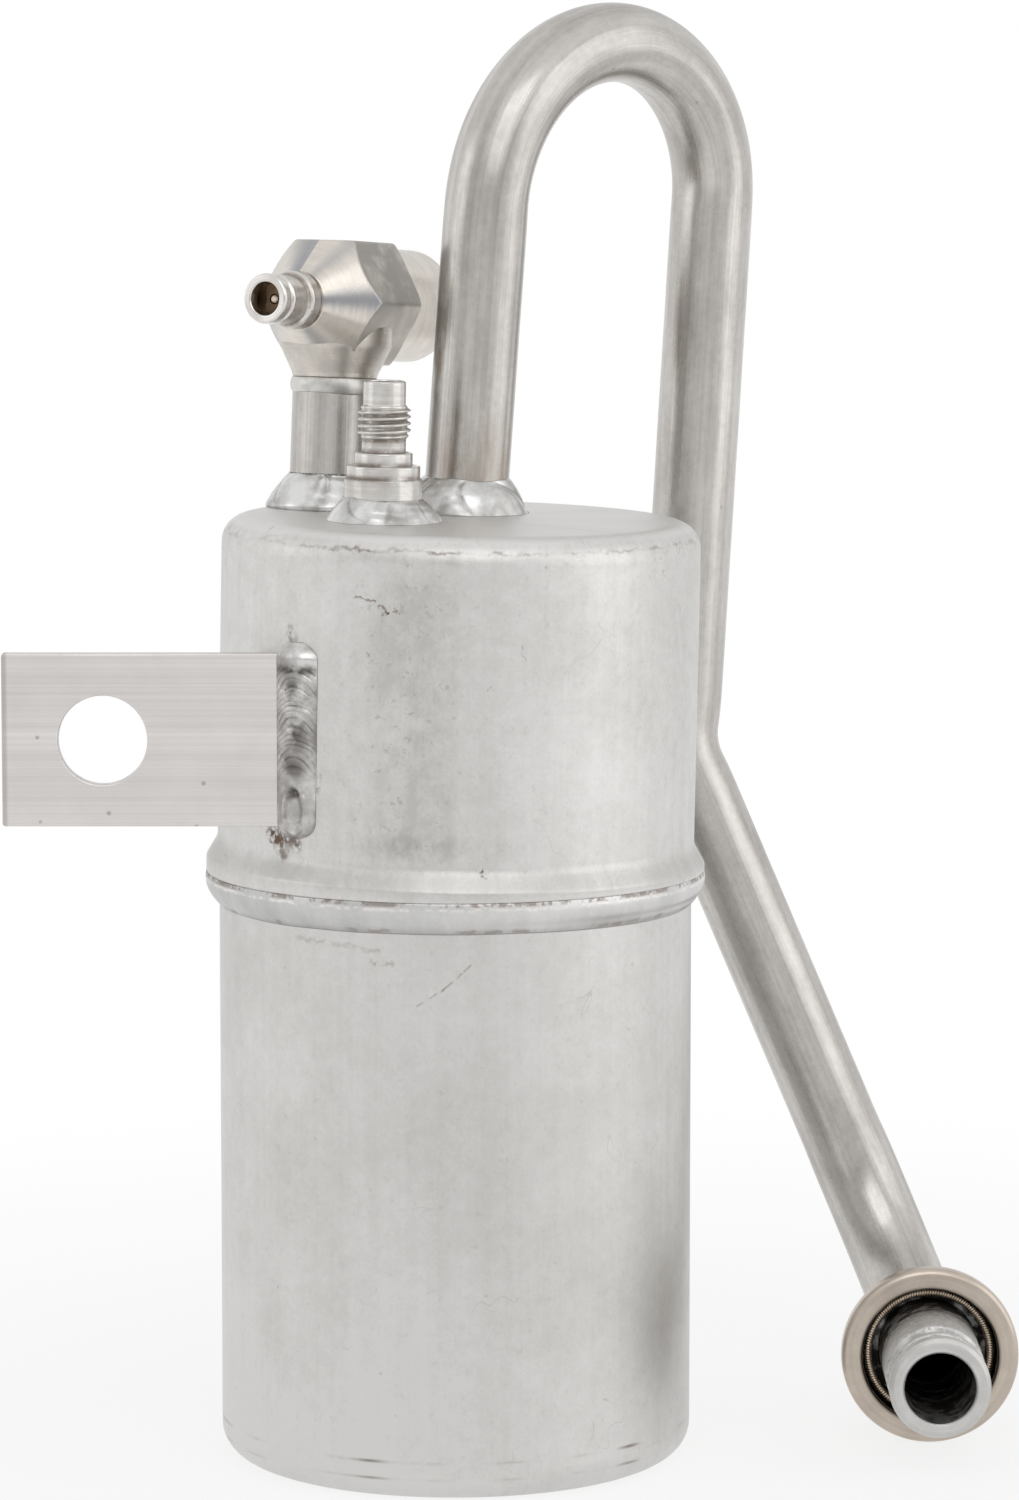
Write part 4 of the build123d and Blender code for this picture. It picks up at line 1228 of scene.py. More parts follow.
@dataclass
class Strap:
    """The flat extruded tab with its hole, and the beads that hold it."""

    can: Can
    width: float = 31.75
    thick: float = 3.0
    set_back: float = 12.0
    reach: float = 51.9
    end_gap: float = 0.6
    mid_height: float = 28.25
    hole: float = 8.15
    hole_inset: float = 18.4
    edge: float = 0.35
    front_in: float = 5.1
    front_behind: float = 3.5
    front_radius: float = 7.75
    front_over: float = 2.3
    rear_out: float = 2.0
    rear_behind: float = 1.95
    rear_radius: float = 3.6

    @property
    def face(self) -> float:
        """Y of the front face."""
        return self.set_back - self.can.upper_radius

    @property
    def meet(self) -> float:
        """X where the front face meets the can."""
        return -math.sqrt(self.can.upper_radius**2 - self.face**2)

    @property
    def middle(self) -> float:
        """Height of the strap's middle."""
        return self.can.seam + self.mid_height

    @property
    def left(self) -> float:
        """X of the free end."""
        return self.meet - self.reach

    def bar(self, material: bpy.types.Material) -> bpy.types.Object:
        """Build the tab.

        Each column runs from the hole's rim to the outer edge: point = rim + t (edge - rim), on the front
        face, over the rounded edge, back on the rear face and through the hole.
        """
        right = self.meet - self.end_gap
        x0, z0 = self.left + self.hole_inset, self.middle
        corner, half = 0.6, self.width / 2
        border = rounded([
            (self.left, z0 - half, corner), (right, z0 - half, 0.2), (right, z0 + half, 0.2),
            (self.left, z0 + half, corner)], step=0.8)
        turn = np.arctan2(border[:, 1] - z0, border[:, 0] - x0)
        rim = np.stack([x0 + self.hole * np.cos(turn), z0 + self.hole * np.sin(turn)], axis=1)
        wander = 1 + 0.004 * waves(21, 8, 5, turn)
        rim = np.array([x0, z0]) + (rim - [x0, z0]) * wander[:, None]
        inward = np.array([x0, z0]) - border
        inward /= np.linalg.norm(inward, axis=1)[:, None]
        share = np.concatenate([[0.012, 0.03], np.linspace(0.08, 0.92, 10), [0.985]])
        ease, e = np.linspace(0, math.pi / 2, 5), self.edge
        inner = [(rim - inward * e * (1 - math.cos(a)), self.face + e * (1 - math.sin(a))) for a in ease]
        start, end = rim - inward * e, border + inward * e
        flat = [(start + (end - start) * s, self.face) for s in share]
        outer = [(border + inward * e * (1 - math.sin(a)), self.face + e * (1 - math.cos(a))) for a in ease]
        front = inner + flat + outer
        back_y = 2 * self.face + self.thick
        rear = [(spots, back_y - y) for spots, y in front[::-1]]
        levels = front + rear
        xz = np.stack([spots for spots, _ in levels])
        y = np.stack([np.full(len(border), y) for _, y in levels])
        lean = math.tan(math.radians(self.can.lean)) * (xz[..., 1] - self.can.seam)
        room = np.sqrt(np.maximum(self.can.upper_radius**2 - y**2, 0))
        x = np.minimum(xz[..., 0], lean - room)
        points = np.stack([x, y, xz[..., 1]], axis=-1)
        return make("strap_tab", Patch(points, points * MM), Slot.STRAP, material, "mounting_strap")

    def _bead(self, name: str, node: str, spot: tuple[float, float], radius: np.ndarray, face_y: float,
              front: bool, height: np.ndarray, shape: Callable[[np.ndarray, np.ndarray], tuple],
              material: bpy.types.Material) -> bpy.types.Object:
        """Build an upright fillet bead between a face of the strap and the can.

        At each height the section is an arc about the spot, from the strap's face to the can's round
        wall, closed by a point behind it.

        Args:
            name: the piece's name.
            node: the node it stands for.
            spot: x and y of the arc's centre.
            radius: arc radius at each height.
            face_y: y of the strap's face.
            front: whether the bead is on the front face.
            height: the heights.
            shape: gives the swell and crease for (across from -1 to 1, height).
            material: its finish.

        Returns:
            The piece.
        """
        tilt = math.tan(math.radians(self.can.lean))
        cx, cy = spot
        can_x = (height - self.can.seam) * tilt
        sign = -1.0 if front else 1.0
        side = -np.sqrt(np.maximum(radius**2 - (face_y - cy) ** 2, 0.01))
        on_face = np.arctan2((face_y - cy) + 0 * radius, side)
        dx, dy = can_x - cx, -cy + 0 * radius
        far = np.hypot(dx, dy)
        reach = (radius**2 + far**2 - self.can.upper_radius**2) / (2 * far)
        half = np.sqrt(np.maximum(radius**2 - reach**2, 0.0))
        on_can = np.arctan2(reach * dy + sign * half * dx, reach * dx - sign * half * dy)
        on_face, on_can = on_face % (2 * math.pi), on_can % (2 * math.pi)
        across = np.linspace(-1, 1, 56)[None]
        angle = on_face[:, None] + (on_can - on_face)[:, None] * (across + 1) / 2
        swell, crease = shape(across, height[:, None])
        edge = np.clip((1 - np.abs(across)) * 6, 0, 1) ** 0.5
        bulge = radius[:, None] + swell * edge
        x, y = cx + bulge * np.cos(angle), cy + bulge * np.sin(angle)
        back_x = np.stack([x[:, -1] * 0.5 + x[:, 0] * 0.5, x[:, 0] + 0.5], axis=1)
        back_y = np.stack([y[:, -1] * 0.5 + y[:, 0] * 0.5 - sign * 1.2, y[:, 0] - sign * 0.4], axis=1)
        x, y = np.hstack([x, back_x]), np.hstack([y, back_y])
        points = np.stack([x, y, height[:, None] + 0 * x], axis=-1)
        crease = np.hstack([crease * edge + 0 * swell, np.zeros((len(height), 2))])
        lay = points * MM
        patch = Patch(points, lay, crease, wrap_rows=False, start_pole=points[0].mean(axis=0),
                      end_pole=points[-1].mean(axis=0))
        return make(name, patch, Slot.WELD, material, node)

    def front_bead(self, material: bpy.types.Material) -> bpy.types.Object:
        """Build the front bead: a bright blob at the top, stacked ripples, and a crater at the bottom."""
        length = self.width + 2 * self.front_over
        low, high = self.middle - length / 2, self.middle + length / 2
        share = np.sin(np.linspace(-math.pi / 2, math.pi / 2, 230)) * 0.25 + np.linspace(-1, 1, 230) * 0.75
        height = self.middle + share * length / 2
        ends = 1 - np.clip((np.abs(height - self.middle) - length / 2 + 3.4) / 3.4, 0, 1) ** 2.2 * 0.24
        radius = (self.front_radius - 0.1) * ends

        def shape(across: np.ndarray, at: np.ndarray) -> tuple[np.ndarray, np.ndarray]:
            """Swell and crease over the bead."""
            ripples = np.clip((at - low - 11.5) / 2.0, 0, 1) * np.clip((high - 4.2 - at) / 1.2, 0, 1)
            bow = at + 2.6 * across**2 + 0.4 * np.sin(at * 0.9)
            stack = np.abs(np.sin(math.pi * bow / 1.2))
            calm = 0.7 + 0.3 * np.sin(at * 1.9 + across * 1.7)
            swell = ripples * (stack - 1) * 0.24 * calm + 0.1 * np.sin(at * 0.55 + 1.0)
            blob = np.exp(-(((at - high + 2.6) / 2.1) ** 2) - ((across - 0.12) / 0.6) ** 2)
            swell = swell + blob * 0.8
            off = np.sqrt(((at - low - 5.6) / 4.6) ** 2 + (across / 0.56) ** 2)
            ring = np.exp(-(((off - 0.92) / 0.2) ** 2))
            pit = np.exp(-(((at - low - 8.9) / 1.0) ** 2) - (across / 0.34) ** 2)
            swell = swell + ring * 0.34 - pit * 0.85 - np.exp(-((off / 0.6) ** 2)) * 0.2
            core = np.exp(-((across / 0.5) ** 2)) * (0.42 + 0.34 * np.sin(at * 0.85 + 0.6 + across))
            crease = ripples * (np.clip(1 - stack * 1.9, 0, 1) * 0.6 * calm + core) + pit * 0.8
            crease = crease + np.exp(-(((off - 0.7) / 0.16) ** 2)) * 0.3 + 0.12
            neck = np.exp(-(((at - high + 4.9) / 0.8) ** 2)) * (1 - across**2 * 0.5)
            toe = np.clip(np.abs(across) * 8 - 6.9, 0, 1) * (0.45 + 0.3 * np.sin(at * 0.8 + across * 2))
            return swell - neck * 0.3, np.clip(crease + neck * 0.8 + toe, 0, 1)

        spot = (self.meet + self.front_in, self.face + self.front_behind)
        return self._bead("front_bead", "strap_weld_front", spot, radius, self.face, True, height, shape,
                          material)

    def rear_bead(self, material: bpy.types.Material) -> bpy.types.Object:
        """Build the rear bead: plain stacked ripples."""
        length = self.width - 2.0
        back = self.face + self.thick
        meet = -math.sqrt(self.can.upper_radius**2 - back**2)
        height = self.middle + np.linspace(-1, 1, 160) * length / 2
        ends = 1 - np.clip((np.abs(height - self.middle) - length / 2 + 2.4) / 2.4, 0, 1) ** 2 * 0.12
        radius = (self.rear_radius - 0.25) * ends

        def shape(across: np.ndarray, at: np.ndarray) -> tuple[np.ndarray, np.ndarray]:
            """Swell and crease over the bead."""
            stack = np.abs(np.sin(math.pi * (at + 1.1 * across**2) / 1.7))
            return stack * 0.3 - 0.2, np.clip(1 - stack * 2.5, 0, 1) * 0.6

        spot = (meet - self.rear_out, back + self.rear_behind)
        return self._bead("rear_bead", "strap_weld_rear", spot, radius, back, False, height, shape, material)


# Radii of a port's stepped bore, and the depths of its two steps below the mouth
MOUTH_BORE, CORE_BORE, FLOW_BORE = 3.1, 2.3, 1.4
SEAT_DEPTH, CORE_DEPTH = 9.5, 15.5
PORT_COLUMNS = 144


@dataclass
class Inlet:
    """The riser, its bead, the hexagon block and the service port."""

    can: Can
    foot: tuple[float, float] = (-23.85, 18.7)
    lean: float = 4.0
    heading: float = 59.0
    inside: float = 9.0
    height: float = 24.5
    tube: float = 7.9375
    bore: float = 6.4375
    axis_height: float = 38.75
    flats: float = 23.3
    hex_back: float = -9.4
    cone_start: float = 5.0
    cone_front: float = 13.4
    cone_small: float = 5.5
    hub: float = 10.8
    hub_back: float = -25.3
    line_bore: float = 8.0
    line_depth: float = 13.6
    flow_bore: float = 6.3
    neck_low: float = 8.0
    neck_high: float = 10.7
    neck_top: float = 30.2
    neck_drop: float = 8.0
    braze: float = 8.4
    braze_height: float = 3.0
    port_mouth: float = 25.2
    port_tail: float = 7.4
    columns: int = 300

    def frame(self) -> Frame:
        """Frame at the riser's foot, its axis up the riser and its across toward the port."""
        turn, tip = math.radians(self.heading), math.radians(self.lean)
        port = np.array([-math.cos(turn) * math.cos(tip), -math.sin(turn) * math.cos(tip), math.sin(tip)])
        up = np.array([math.cos(turn) * math.sin(tip), math.sin(turn) * math.sin(tip), math.cos(tip)])
        origin = np.array([self.foot[0], self.foot[1], self.can.top_at(self.foot[0])])
        return Frame(origin, port, up)

    def block_frame(self) -> Frame:
        """Frame of the block, its axis toward the port."""
        return self.frame().shifted(self.axis_height).turned()

    def riser(self, material: bpy.types.Material) -> bpy.types.Object:
        """Build the straight riser tube."""
        outline = rounded([(self.bore, -self.inside), (self.tube, -self.inside), (self.tube, self.height),
                           (self.bore, self.height)], step=2.0)
        patch = lathe(outline, self.frame(), 88)
        patch.lay[..., 2] = (outline[:, 1:] + self.inside) * MM
        return make("riser_tube", patch, Slot.TUBE, material, "inlet_riser")

    def ring(self, material: bpy.types.Material) -> bpy.types.Object:
        """Build the filler ring under the block, its belly wandering round the joint."""
        angle = circle(160)[0]
        share = np.linspace(0, 1, 16)[:, None]
        swell = (self.braze - self.tube) * np.sin(math.pi * share) ** 0.7
        swell = swell * (1 + 0.3 * waves(31, 16, 12, angle)[None])
        low = self.height - self.braze_height * (1 + 0.12 * waves(32, 9, 6, angle)[None])
        height = low + (self.height - low) * share
        radius = self.tube + 0.02 + swell + (self.neck_low - self.tube) * share**3
        inner = np.stack([0 * angle + self.tube + 0.01, 0 * angle + self.tube + 0.01])
        radius = np.vstack([radius, inner])
        height = np.vstack([height, 0 * angle + self.height, 0 * angle + low[0]])
        local, lay = rings(radius, height, angle)
        patch = Patch(self.frame().carry(local), lay)
        return make("block_filler", patch, Slot.WELD, material, "block_braze")

    def _hexagon(self, angle: np.ndarray) -> np.ndarray:
        """Radius of the rounded hexagon: the apothem over the cosine of the angle from the nearest flat's
        middle, softly limited at the corners."""
        apothem = self.flats / 2
        off = (angle + math.pi / 6) % (math.pi / 3) - math.pi / 6
        sharp = apothem / np.cos(off)
        limit = apothem / math.cos(math.pi / 6) - 0.12
        return -np.log(np.exp(-sharp / 0.08) + np.exp(-limit / 0.08)) * 0.08

    def block(self, material: bpy.types.Material) -> bpy.types.Object:
        """Build the block: hub, hexagon and cone in one skin, and the neck below in another.

        Over the body the radius at (angle, z) is the soft least of the hexagon, the front cone and the
        chamfer behind, the soft least of a and b being -k log(exp(-a/k) + exp(-b/k)).
        """
        corner = self.flats / math.sqrt(3)
        hexes = np.linspace(0, 1, self.columns // 6, endpoint=False)
        packed = hexes + 0.14 * np.sin(2 * math.pi * hexes) * -1 / (2 * math.pi) * 4
        angle = (np.arange(6)[:, None] + packed[None]).ravel() * math.pi / 3
        fine = np.concatenate([
            np.linspace(self.hex_back, self.hex_back + 1.6, 18),
            np.linspace(self.hex_back + 1.9, self.cone_start - 0.8, 22),
            np.linspace(self.cone_start - 0.6, self.cone_start + 3.2, 46),
            np.linspace(self.cone_start + 3.4, self.cone_front, 34)])[:, None]
        slope = (corner - self.cone_small) / (self.cone_front - self.cone_start)
        cone = corner + 0.05 - (fine - self.cone_start) * slope
        chamfer = corner - 0.9 + (fine - self.hex_back) * 1.6
        soft = 0.09
        limits = (self._hexagon(angle)[None] + 0 * fine, cone + 0 * angle, chamfer + 0 * angle)
        weights = [np.exp(-(limit - corner) / soft) for limit in limits]
        body_r = corner - np.log(sum(weights)) * soft
        hub = rounded([(self.flow_bore, 0.0), (self.flow_bore, self.hub_back + self.line_depth, 0.1),
                       (self.line_bore, self.hub_back + self.line_depth, 0.1),
                       (self.line_bore, self.hub_back, 0.5), (self.hub, self.hub_back, 0.8),
                       (self.hub, self.hex_back, 0.25),
                       (self.hub + 0.4, self.hex_back)], closed=False, step=1.2)
        nose = rounded([(self.cone_small - 0.05, self.cone_front), (4.06, self.cone_front, 0.05),
                        (4.06, 0.0, 0.05), (self.flow_bore, 0.0)], closed=False, step=2.0)
        radius = np.vstack([hub[:, :1] + 0 * angle, body_r, nose[:-1, :1] + 0 * angle])
        height = np.vstack([hub[:, 1:] + 0 * angle, fine + 0 * angle, nose[:-1, 1:] + 0 * angle])
        local, lay = rings(radius, height, angle)
        run = np.concatenate([[0], np.cumsum(np.hypot(np.diff(radius.mean(axis=1)), np.diff(height[:, 0])))])
        lay[..., 2] = run[:, None] * MM
        crease = np.exp(-(((height - self.hex_back) / 0.5) ** 2)) * (radius < self.hub + 1.0)
        # The hexagon's flats take the crease mark, dulled at 0.45, and the flat about 120° in full: painted
        # shade on that flat.
        shaded_flat_share = 0.45 + 0.55 * (np.abs(angle - math.radians(120)) < math.radians(30.5))
        crease[len(hub):len(hub) + len(fine)] = weights[0] / sum(weights) * shaded_flat_share
        body = Patch(self.block_frame().carry(local), lay, crease)
        neck_outline = rounded([
            (self.bore - 1.55, self.height - self.neck_drop),
            (self.bore - 0.05, self.height - self.neck_drop), (self.bore - 0.05, self.height),
            (self.neck_low, self.height, 0.3), (self.neck_low + 0.2, self.height + 0.9, 2.0),
            (self.neck_high, self.neck_top + 0.4, 3.0),
            (self.neck_high + 0.3, self.neck_top + 4.2, 0.2), (6.6, self.neck_top + 4.2),
            (self.bore - 1.55, self.neck_top + 4.2)], step=1.0)
        neck = lathe(neck_outline, self.frame(), 160)
        # The whole neck is evenly dulled and darkened.
        neck.crease = np.full(neck.lay.shape[:2], 0.35)
        return make("inlet_hexagon", [body, neck], Slot.TURNED, material, "inlet_block")

    def port(self, material: bpy.types.Material) -> bpy.types.Object:
        """Build the turned service port with its stepped bore."""
        mouth, base = self.port_mouth, self.cone_front
        outline = rounded([
            (MOUTH_BORE, mouth, 0.35), (4.7, mouth, 0.55), (4.7, mouth - 2.1, 0.35),
            (4.2, mouth - 2.25, 0.12), (4.2, mouth - 2.95, 0.12), (4.65, mouth - 3.2, 0.35),
            (4.6, base + 3.7, 0.4), (5.1, base + 3.6, 0.25), (5.5, base + 3.1, 0.45), (5.5, base + 0.9, 0.6),
            (5.0, base + 0.05, 0.2), (4.0, base + 0.04, 0.05), (4.0, base - self.port_tail, 0.1),
            (FLOW_BORE, base - self.port_tail, 0.1), (FLOW_BORE, mouth - CORE_DEPTH, 0.05),
            (CORE_BORE, mouth - CORE_DEPTH, 0.05), (CORE_BORE, mouth - SEAT_DEPTH, 0.05),
            (MOUTH_BORE, mouth - SEAT_DEPTH, 0.05)], step=1.0)
        patch = lathe(outline, self.block_frame(), PORT_COLUMNS)
        dips = ((4.25, mouth - 2.6), (5.0, base + 0.1), (4.7, base + 3.7))
        patch.crease = valley(outline, dips, 0.45, PORT_COLUMNS)
        return make("service_nose", patch, Slot.TURNED, material, "service_port")

    def bead(self, material: bpy.types.Material) -> bpy.types.Object:
        """Build the bead at the riser's foot."""
        return FootBead("riser_bead", "riser_weld", self.frame(), 12.2, 6.6, self.tube, 6, 1.3, 44,
                        self.can.up).build(material)


def valley(outline: np.ndarray, spots: Sequence[tuple[float, float]], width: float,
           columns: int) -> np.ndarray:
    """Crease values that are 1 at some spots of an outline and fall off over a width."""
    total = np.zeros(len(outline))
    for spot in spots:
        gap = np.linalg.norm(outline - np.array(spot), axis=1)
        total = np.maximum(total, np.exp(-((gap / width) ** 2)))
    return np.repeat(total[:, None], columns, axis=1)


@dataclass
class SwitchStub:
    """The turned stub with its thread, and the cone of weld at its foot."""

    can: Can
    foot: tuple[float, float] = (-13.35, -10.2)
    pitch: float = 1.25
    crest: float = 4.95
    root: float = 4.25
    thread_low: float = 15.35
    thread_high: float = 21.25
    mouth: float = 25.9
    base: float = 7.25

    def frame(self) -> Frame:
        """Frame at the stub's foot."""
        up = self.can.up
        origin = np.array([self.foot[0], self.foot[1], self.can.top_at(self.foot[0])])
        return Frame(origin, np.cross(up, [0, -1.0, 0]), up)

    def stub(self, material: bpy.types.Material) -> bpy.types.Object:
        """Build the stub: a turned skin whose thread rows carry a helix.

        On the thread the radius is root + depth * tooth, where tooth rises and falls with the height less
        the pitch times the turn, and fades out at both ends.
        """
        low, high, mouth, base = self.thread_low, self.thread_high, self.mouth, self.base
        lower = [(FLOW_BORE, -3.4, 0.1), (5.0, -3.4, 0.2), (5.0, 0.05, 0.1), (base, 0.05, 0.1),
                 (base, 7.7, 0.25), (6.85, 8.0, 0.1), (6.85, 10.2, 0.25), (5.4, 10.4, 0.1),
                 (5.4, 12.6, 0.25), (4.1, 12.8, 0.25), (4.1, low - 0.15, 0.2)]
        seat, floor = mouth - SEAT_DEPTH, mouth - CORE_DEPTH
        upper = [(3.95, high + 0.25, 0.15), (3.95, mouth, 1.7), (MOUTH_BORE, mouth, 0.2),
                 (MOUTH_BORE, seat, 0.05), (CORE_BORE, seat, 0.05), (CORE_BORE, floor, 0.05),
                 (FLOW_BORE, floor, 0.05), (FLOW_BORE, -3.3)]
        start = rounded([*lower, (4.3, low)], closed=False, step=0.9)[:-1]
        end = rounded([(4.3, high), *upper], closed=False, step=0.9)[1:]
        rows = np.linspace(low, high, 96)
        outline = np.vstack([start, np.stack([0 * rows + self.root, rows], axis=1), end])
        patch = lathe(outline, UPRIGHT, PORT_COLUMNS)
        angle, cosine, sine = circle(PORT_COLUMNS)
        turn = angle[None] / (2 * math.pi)
        height = outline[:, 1:]
        phase = (height / self.pitch - turn) % 1.0
        tooth = np.clip(1.35 - np.abs(phase - 0.5) * 3.1, 0, 1)
        on = (np.arange(len(outline)) >= len(start)) & (np.arange(len(outline)) < len(start) + len(rows))
        fade = np.clip((height - low) / 0.8, 0, 1) * np.clip((high - height) / 0.7, 0, 1)
        lift = (self.crest - self.root) * tooth * fade * on[:, None]
        outward = np.stack([cosine, sine, 0 * sine], axis=1)
        patch.points = self.frame().carry(patch.points + outward[None] * lift[..., None])
        dips = ((5.6, 10.45), (4.3, 12.9), (7.0, 8.05), (4.1, 15.0))
        grooves = valley(outline, dips, 0.5, PORT_COLUMNS)
        pits = np.clip(waves(15, 14, 26, angle)[None] * 1.6 - 0.3, 0, 1)
        pits = pits * np.exp(-(((height - 5.3) / 1.0) ** 2)) * (outline[:, :1] > 7.0)
        cuts = np.clip(1 - tooth * 3, 0, 1) * fade * on[:, None] * 0.9
        patch.crease = np.maximum(np.maximum(grooves, pits * 1.4), cuts)
        return make("switch_stub", patch, Slot.TURNED, material, "switch_port")

    def bead(self, material: bpy.types.Material) -> bpy.types.Object:
        """Build the cone of weld at the stub's foot."""
        return FootBead("stub_bead", "switch_port_weld", self.frame(), 10.7, 4.3, self.base, 7, 0.8, 61,
                        self.can.up).build(material)


@dataclass
class OutletLine:
    """The arched pipe, its bead, and the spring coupling at its end."""

    can: Can
    foot: tuple[float, float] = (1.74, 14.0)
    slope: float = 0.071
    inside: float = 17.8
    arch_rise: float = 88.1
    near_radius: float = 32.6
    far: tuple[float, float] = (51.6, 57.9)
    knee: Triple = (43.4, 54.0, 127.6)
    knee_radius: float = 22.0
    final_radius: float = 34.0
    tube: float = 7.9375
    bore: float = 6.4375
    coupling: Triple = (90.5, -25.0, 17.1)
    spigot: float = 9.525
    groove: float = 7.9
    mouth_bore: float = 6.7
    spigot_length: float = 41.5
    socket: float = 8.0
    filler: float = 2.0
    cage_front: float = 27.0
    cage_length: float = 12.0
    cage_radius: float = 16.9
    cage_back: float = 13.6
    sheet: float = 0.9
    lip: float = 12.85
    ring: float = 11.75
    ring_depth: float = 31.2
    ring_coil: float = 0.88
    ring_wire: float = 0.23
    ring_turns: int = 150

    def leg_point(self, height: float) -> np.ndarray:
        """Point on the leaning leg at a height."""
        return np.array([self.foot[0] + (height - self.can.top) * self.slope, self.foot[1], height])

    def route(self) -> Route:
        """Centre line: up the leg, over the arch, down to the knee, out and forward."""
        arch = self.can.top + self.arch_rise
        low, near = self.leg_point(self.can.top - self.inside), self.leg_point(arch)
        far, knee = np.array([*self.far, arch]), np.array(self.knee)
        x, mouth, z = self.coupling
        corner = np.array([x, mouth + self.spigot_length + self.filler + self.final_radius, z])
        end = np.array([x, mouth + self.spigot_length - self.socket, z])
        room = np.linalg.norm(far - near) - 0.05 - self.near_radius * half_turn(low, near, far)
        far_radius = room / half_turn(near, far, knee)
        spots = (low, near, far, knee, corner, end)
        radii = (self.near_radius, far_radius, self.knee_radius, self.final_radius)
        return Route(tuple(tuple(s) for s in spots), radii)

    def pipe(self, material: bpy.types.Material) -> bpy.types.Object:
        """Build the pipe along its route."""
        patch = tube(self.route(), self.tube, self.bore)
        return make("arched_pipe", patch, Slot.TUBE, material, "outlet_pipe")

    def foot_frame(self) -> Frame:
        """Frame where the leg meets the top."""
        way = np.array([self.slope, 0, 1.0]) / math.hypot(self.slope, 1)
        return Frame(self.leg_point(self.can.top_at(self.foot[0])), np.cross([0, 1.0, 0], way), way)

    def bead(self, material: bpy.types.Material) -> bpy.types.Object:
        """Build the bead at the leg's foot."""
        return FootBead("outlet_bead", "outlet_weld", self.foot_frame(), 12.3, 6.6, self.tube, 6, 1.35, 12,
                        self.can.up).build(material)

    def frame(self) -> Frame:
        """Frame at the coupling's mouth, its axis back along the pipe."""
        return Frame(np.array(self.coupling), np.array([1.0, 0, 0]), np.array([0, 1.0, 0]))

    def spigot_piece(self, material: bpy.types.Material) -> bpy.types.Object:
        """Build the grooved spigot, its lands nicked by the tool."""
        long, flange = self.spigot_length, self.cage_front + self.cage_length - self.sheet
        outer, groove, bore, end = self.spigot, self.groove, self.mouth_bore, long - self.socket
        outline = rounded([
            (bore, 0.4, 0.3), (7.1, 0.0, 0.2), (8.75, 0.0, 0.5), (outer, 0.75, 0.3), (outer, 3.2, 0.2),
            (groove, 3.6, 0.6), (groove, 5.6, 0.6), (9.2, 6.3, 0.5), (9.2, 8.1, 0.5), (groove, 8.8, 0.6),
            (groove, 10.9, 0.6), (9.45, 11.7, 0.6), (9.45, flange - 2.0, 0.1), (11.2, flange - 2.0, 0.1),
            (11.2, flange - 0.05, 0.1), (10.2, flange - 0.05, 0.1), (10.2, long, 0.3),
            (self.tube + 0.05, long, 0.1), (self.tube + 0.05, end, 0.1), (bore, end, 0.1)], step=0.7)
        patch = lathe(outline, UPRIGHT, 200)
        turn, cosine, sine = circle(200)
        rows = np.arange(len(outline))[:, None] / 7.0
        rough = waves(71, 30, 34, turn[None], rows) * 0.19
        skin = ((outline[:, :1] > 7.2) & (outline[:, 1:] > 3.0) & (outline[:, 1:] < 22.0))
        outward = np.stack([cosine, sine, 0 * sine], axis=1)
        patch.points = self.frame().carry(patch.points - outward[None] * (np.abs(rough) * skin)[..., None])
        patch.crease = valley(outline, ((groove, 4.5), (groove, 9.9), (groove, 11.2)), 1.1, 200)
        # The cavity under the cage and the bore get a crease of 3: painted near black as shade.
        cavity = (outline[:, 1] > 25.0) & (outline[:, 1] < flange - 0.5)
        hidden = cavity | ((outline[:, 0] < bore + 0.1) & (outline[:, 1] > 1.0))
        patch.crease[hidden] = 3.0
        return make("spigot", patch, Slot.TURNED, material, "outlet_spigot")

    def filler_ring(self, material: bpy.types.Material) -> bpy.types.Object:
        """Build the filler where the tube enters the spigot."""
        long = self.spigot_length
        outline = rounded([(self.tube + 0.02, long + 0.02), (9.9, long + 0.02, 0.3), (8.7, long + 1.0, 0.8),
                           (self.tube + 0.02, long + self.filler)], step=0.5)
        return make("spigot_filler", lathe(outline, self.frame(), 120), Slot.WELD, material, "spigot_braze")

    def cage(self, material: bpy.types.Material) -> bpy.types.Object:
        """Build the pressed cage: rolled lip, wall, tapered shoulder and inner back edge, its inner walls
        marked for painted shade.
        """
        front, back, t = self.cage_front, self.cage_front + self.cage_length, self.sheet
        outer, lip, rear = self.cage_radius, self.lip, self.cage_back
        outline = rounded([
            (10.3, back - t, 0.1), (rear - t, back - t, 1.2), (outer - t, front + 3.6, 1.2),
            (outer - t, front + t + 0.4, 0.9), (lip + t, front + t, 0.5), (lip + t, front + 2.4, 0.3),
            (lip, front + 2.4, 0.3), (lip, front, 0.8), (outer, front + 0.35, 1.3), (outer, front + 3.6, 1.2),
            (rear, back, 2.1), (10.3, back, 0.1)], step=0.8)
        patch = lathe(outline, self.frame(), 176)
        # The inner walls get the full crease mark, which paints them dark as shade.
        inside = np.arange(len(outline)) < np.argmax(outline[:, 1] < front + t + 0.2)
        patch.crease = np.repeat((inside * 1.0)[:, None], 176, axis=1)
        return make("coupling_cage", patch, Slot.CAGE, material, "outlet_cage")

    def ring_spring(self, material: bpy.types.Material) -> bpy.types.Object:
        """Build the close-wound ring spring.

        The wire's centre goes round the ring once while it goes round the coil ring_turns times, and
        each wire section is a circle across its own direction.
        """
        turn = np.linspace(0, 2 * math.pi, self.ring_turns * 14, endpoint=False)
        coil, wind = self.ring_coil - self.ring_wire, turn * self.ring_turns

        def centre(at: np.ndarray, around: np.ndarray) -> np.ndarray:
            """Centre of the wire."""
            radius = self.ring + coil * np.cos(around)
            depth = self.ring_depth + coil * np.sin(around)
            return np.stack([radius * np.cos(at), radius * np.sin(at), depth], axis=-1)

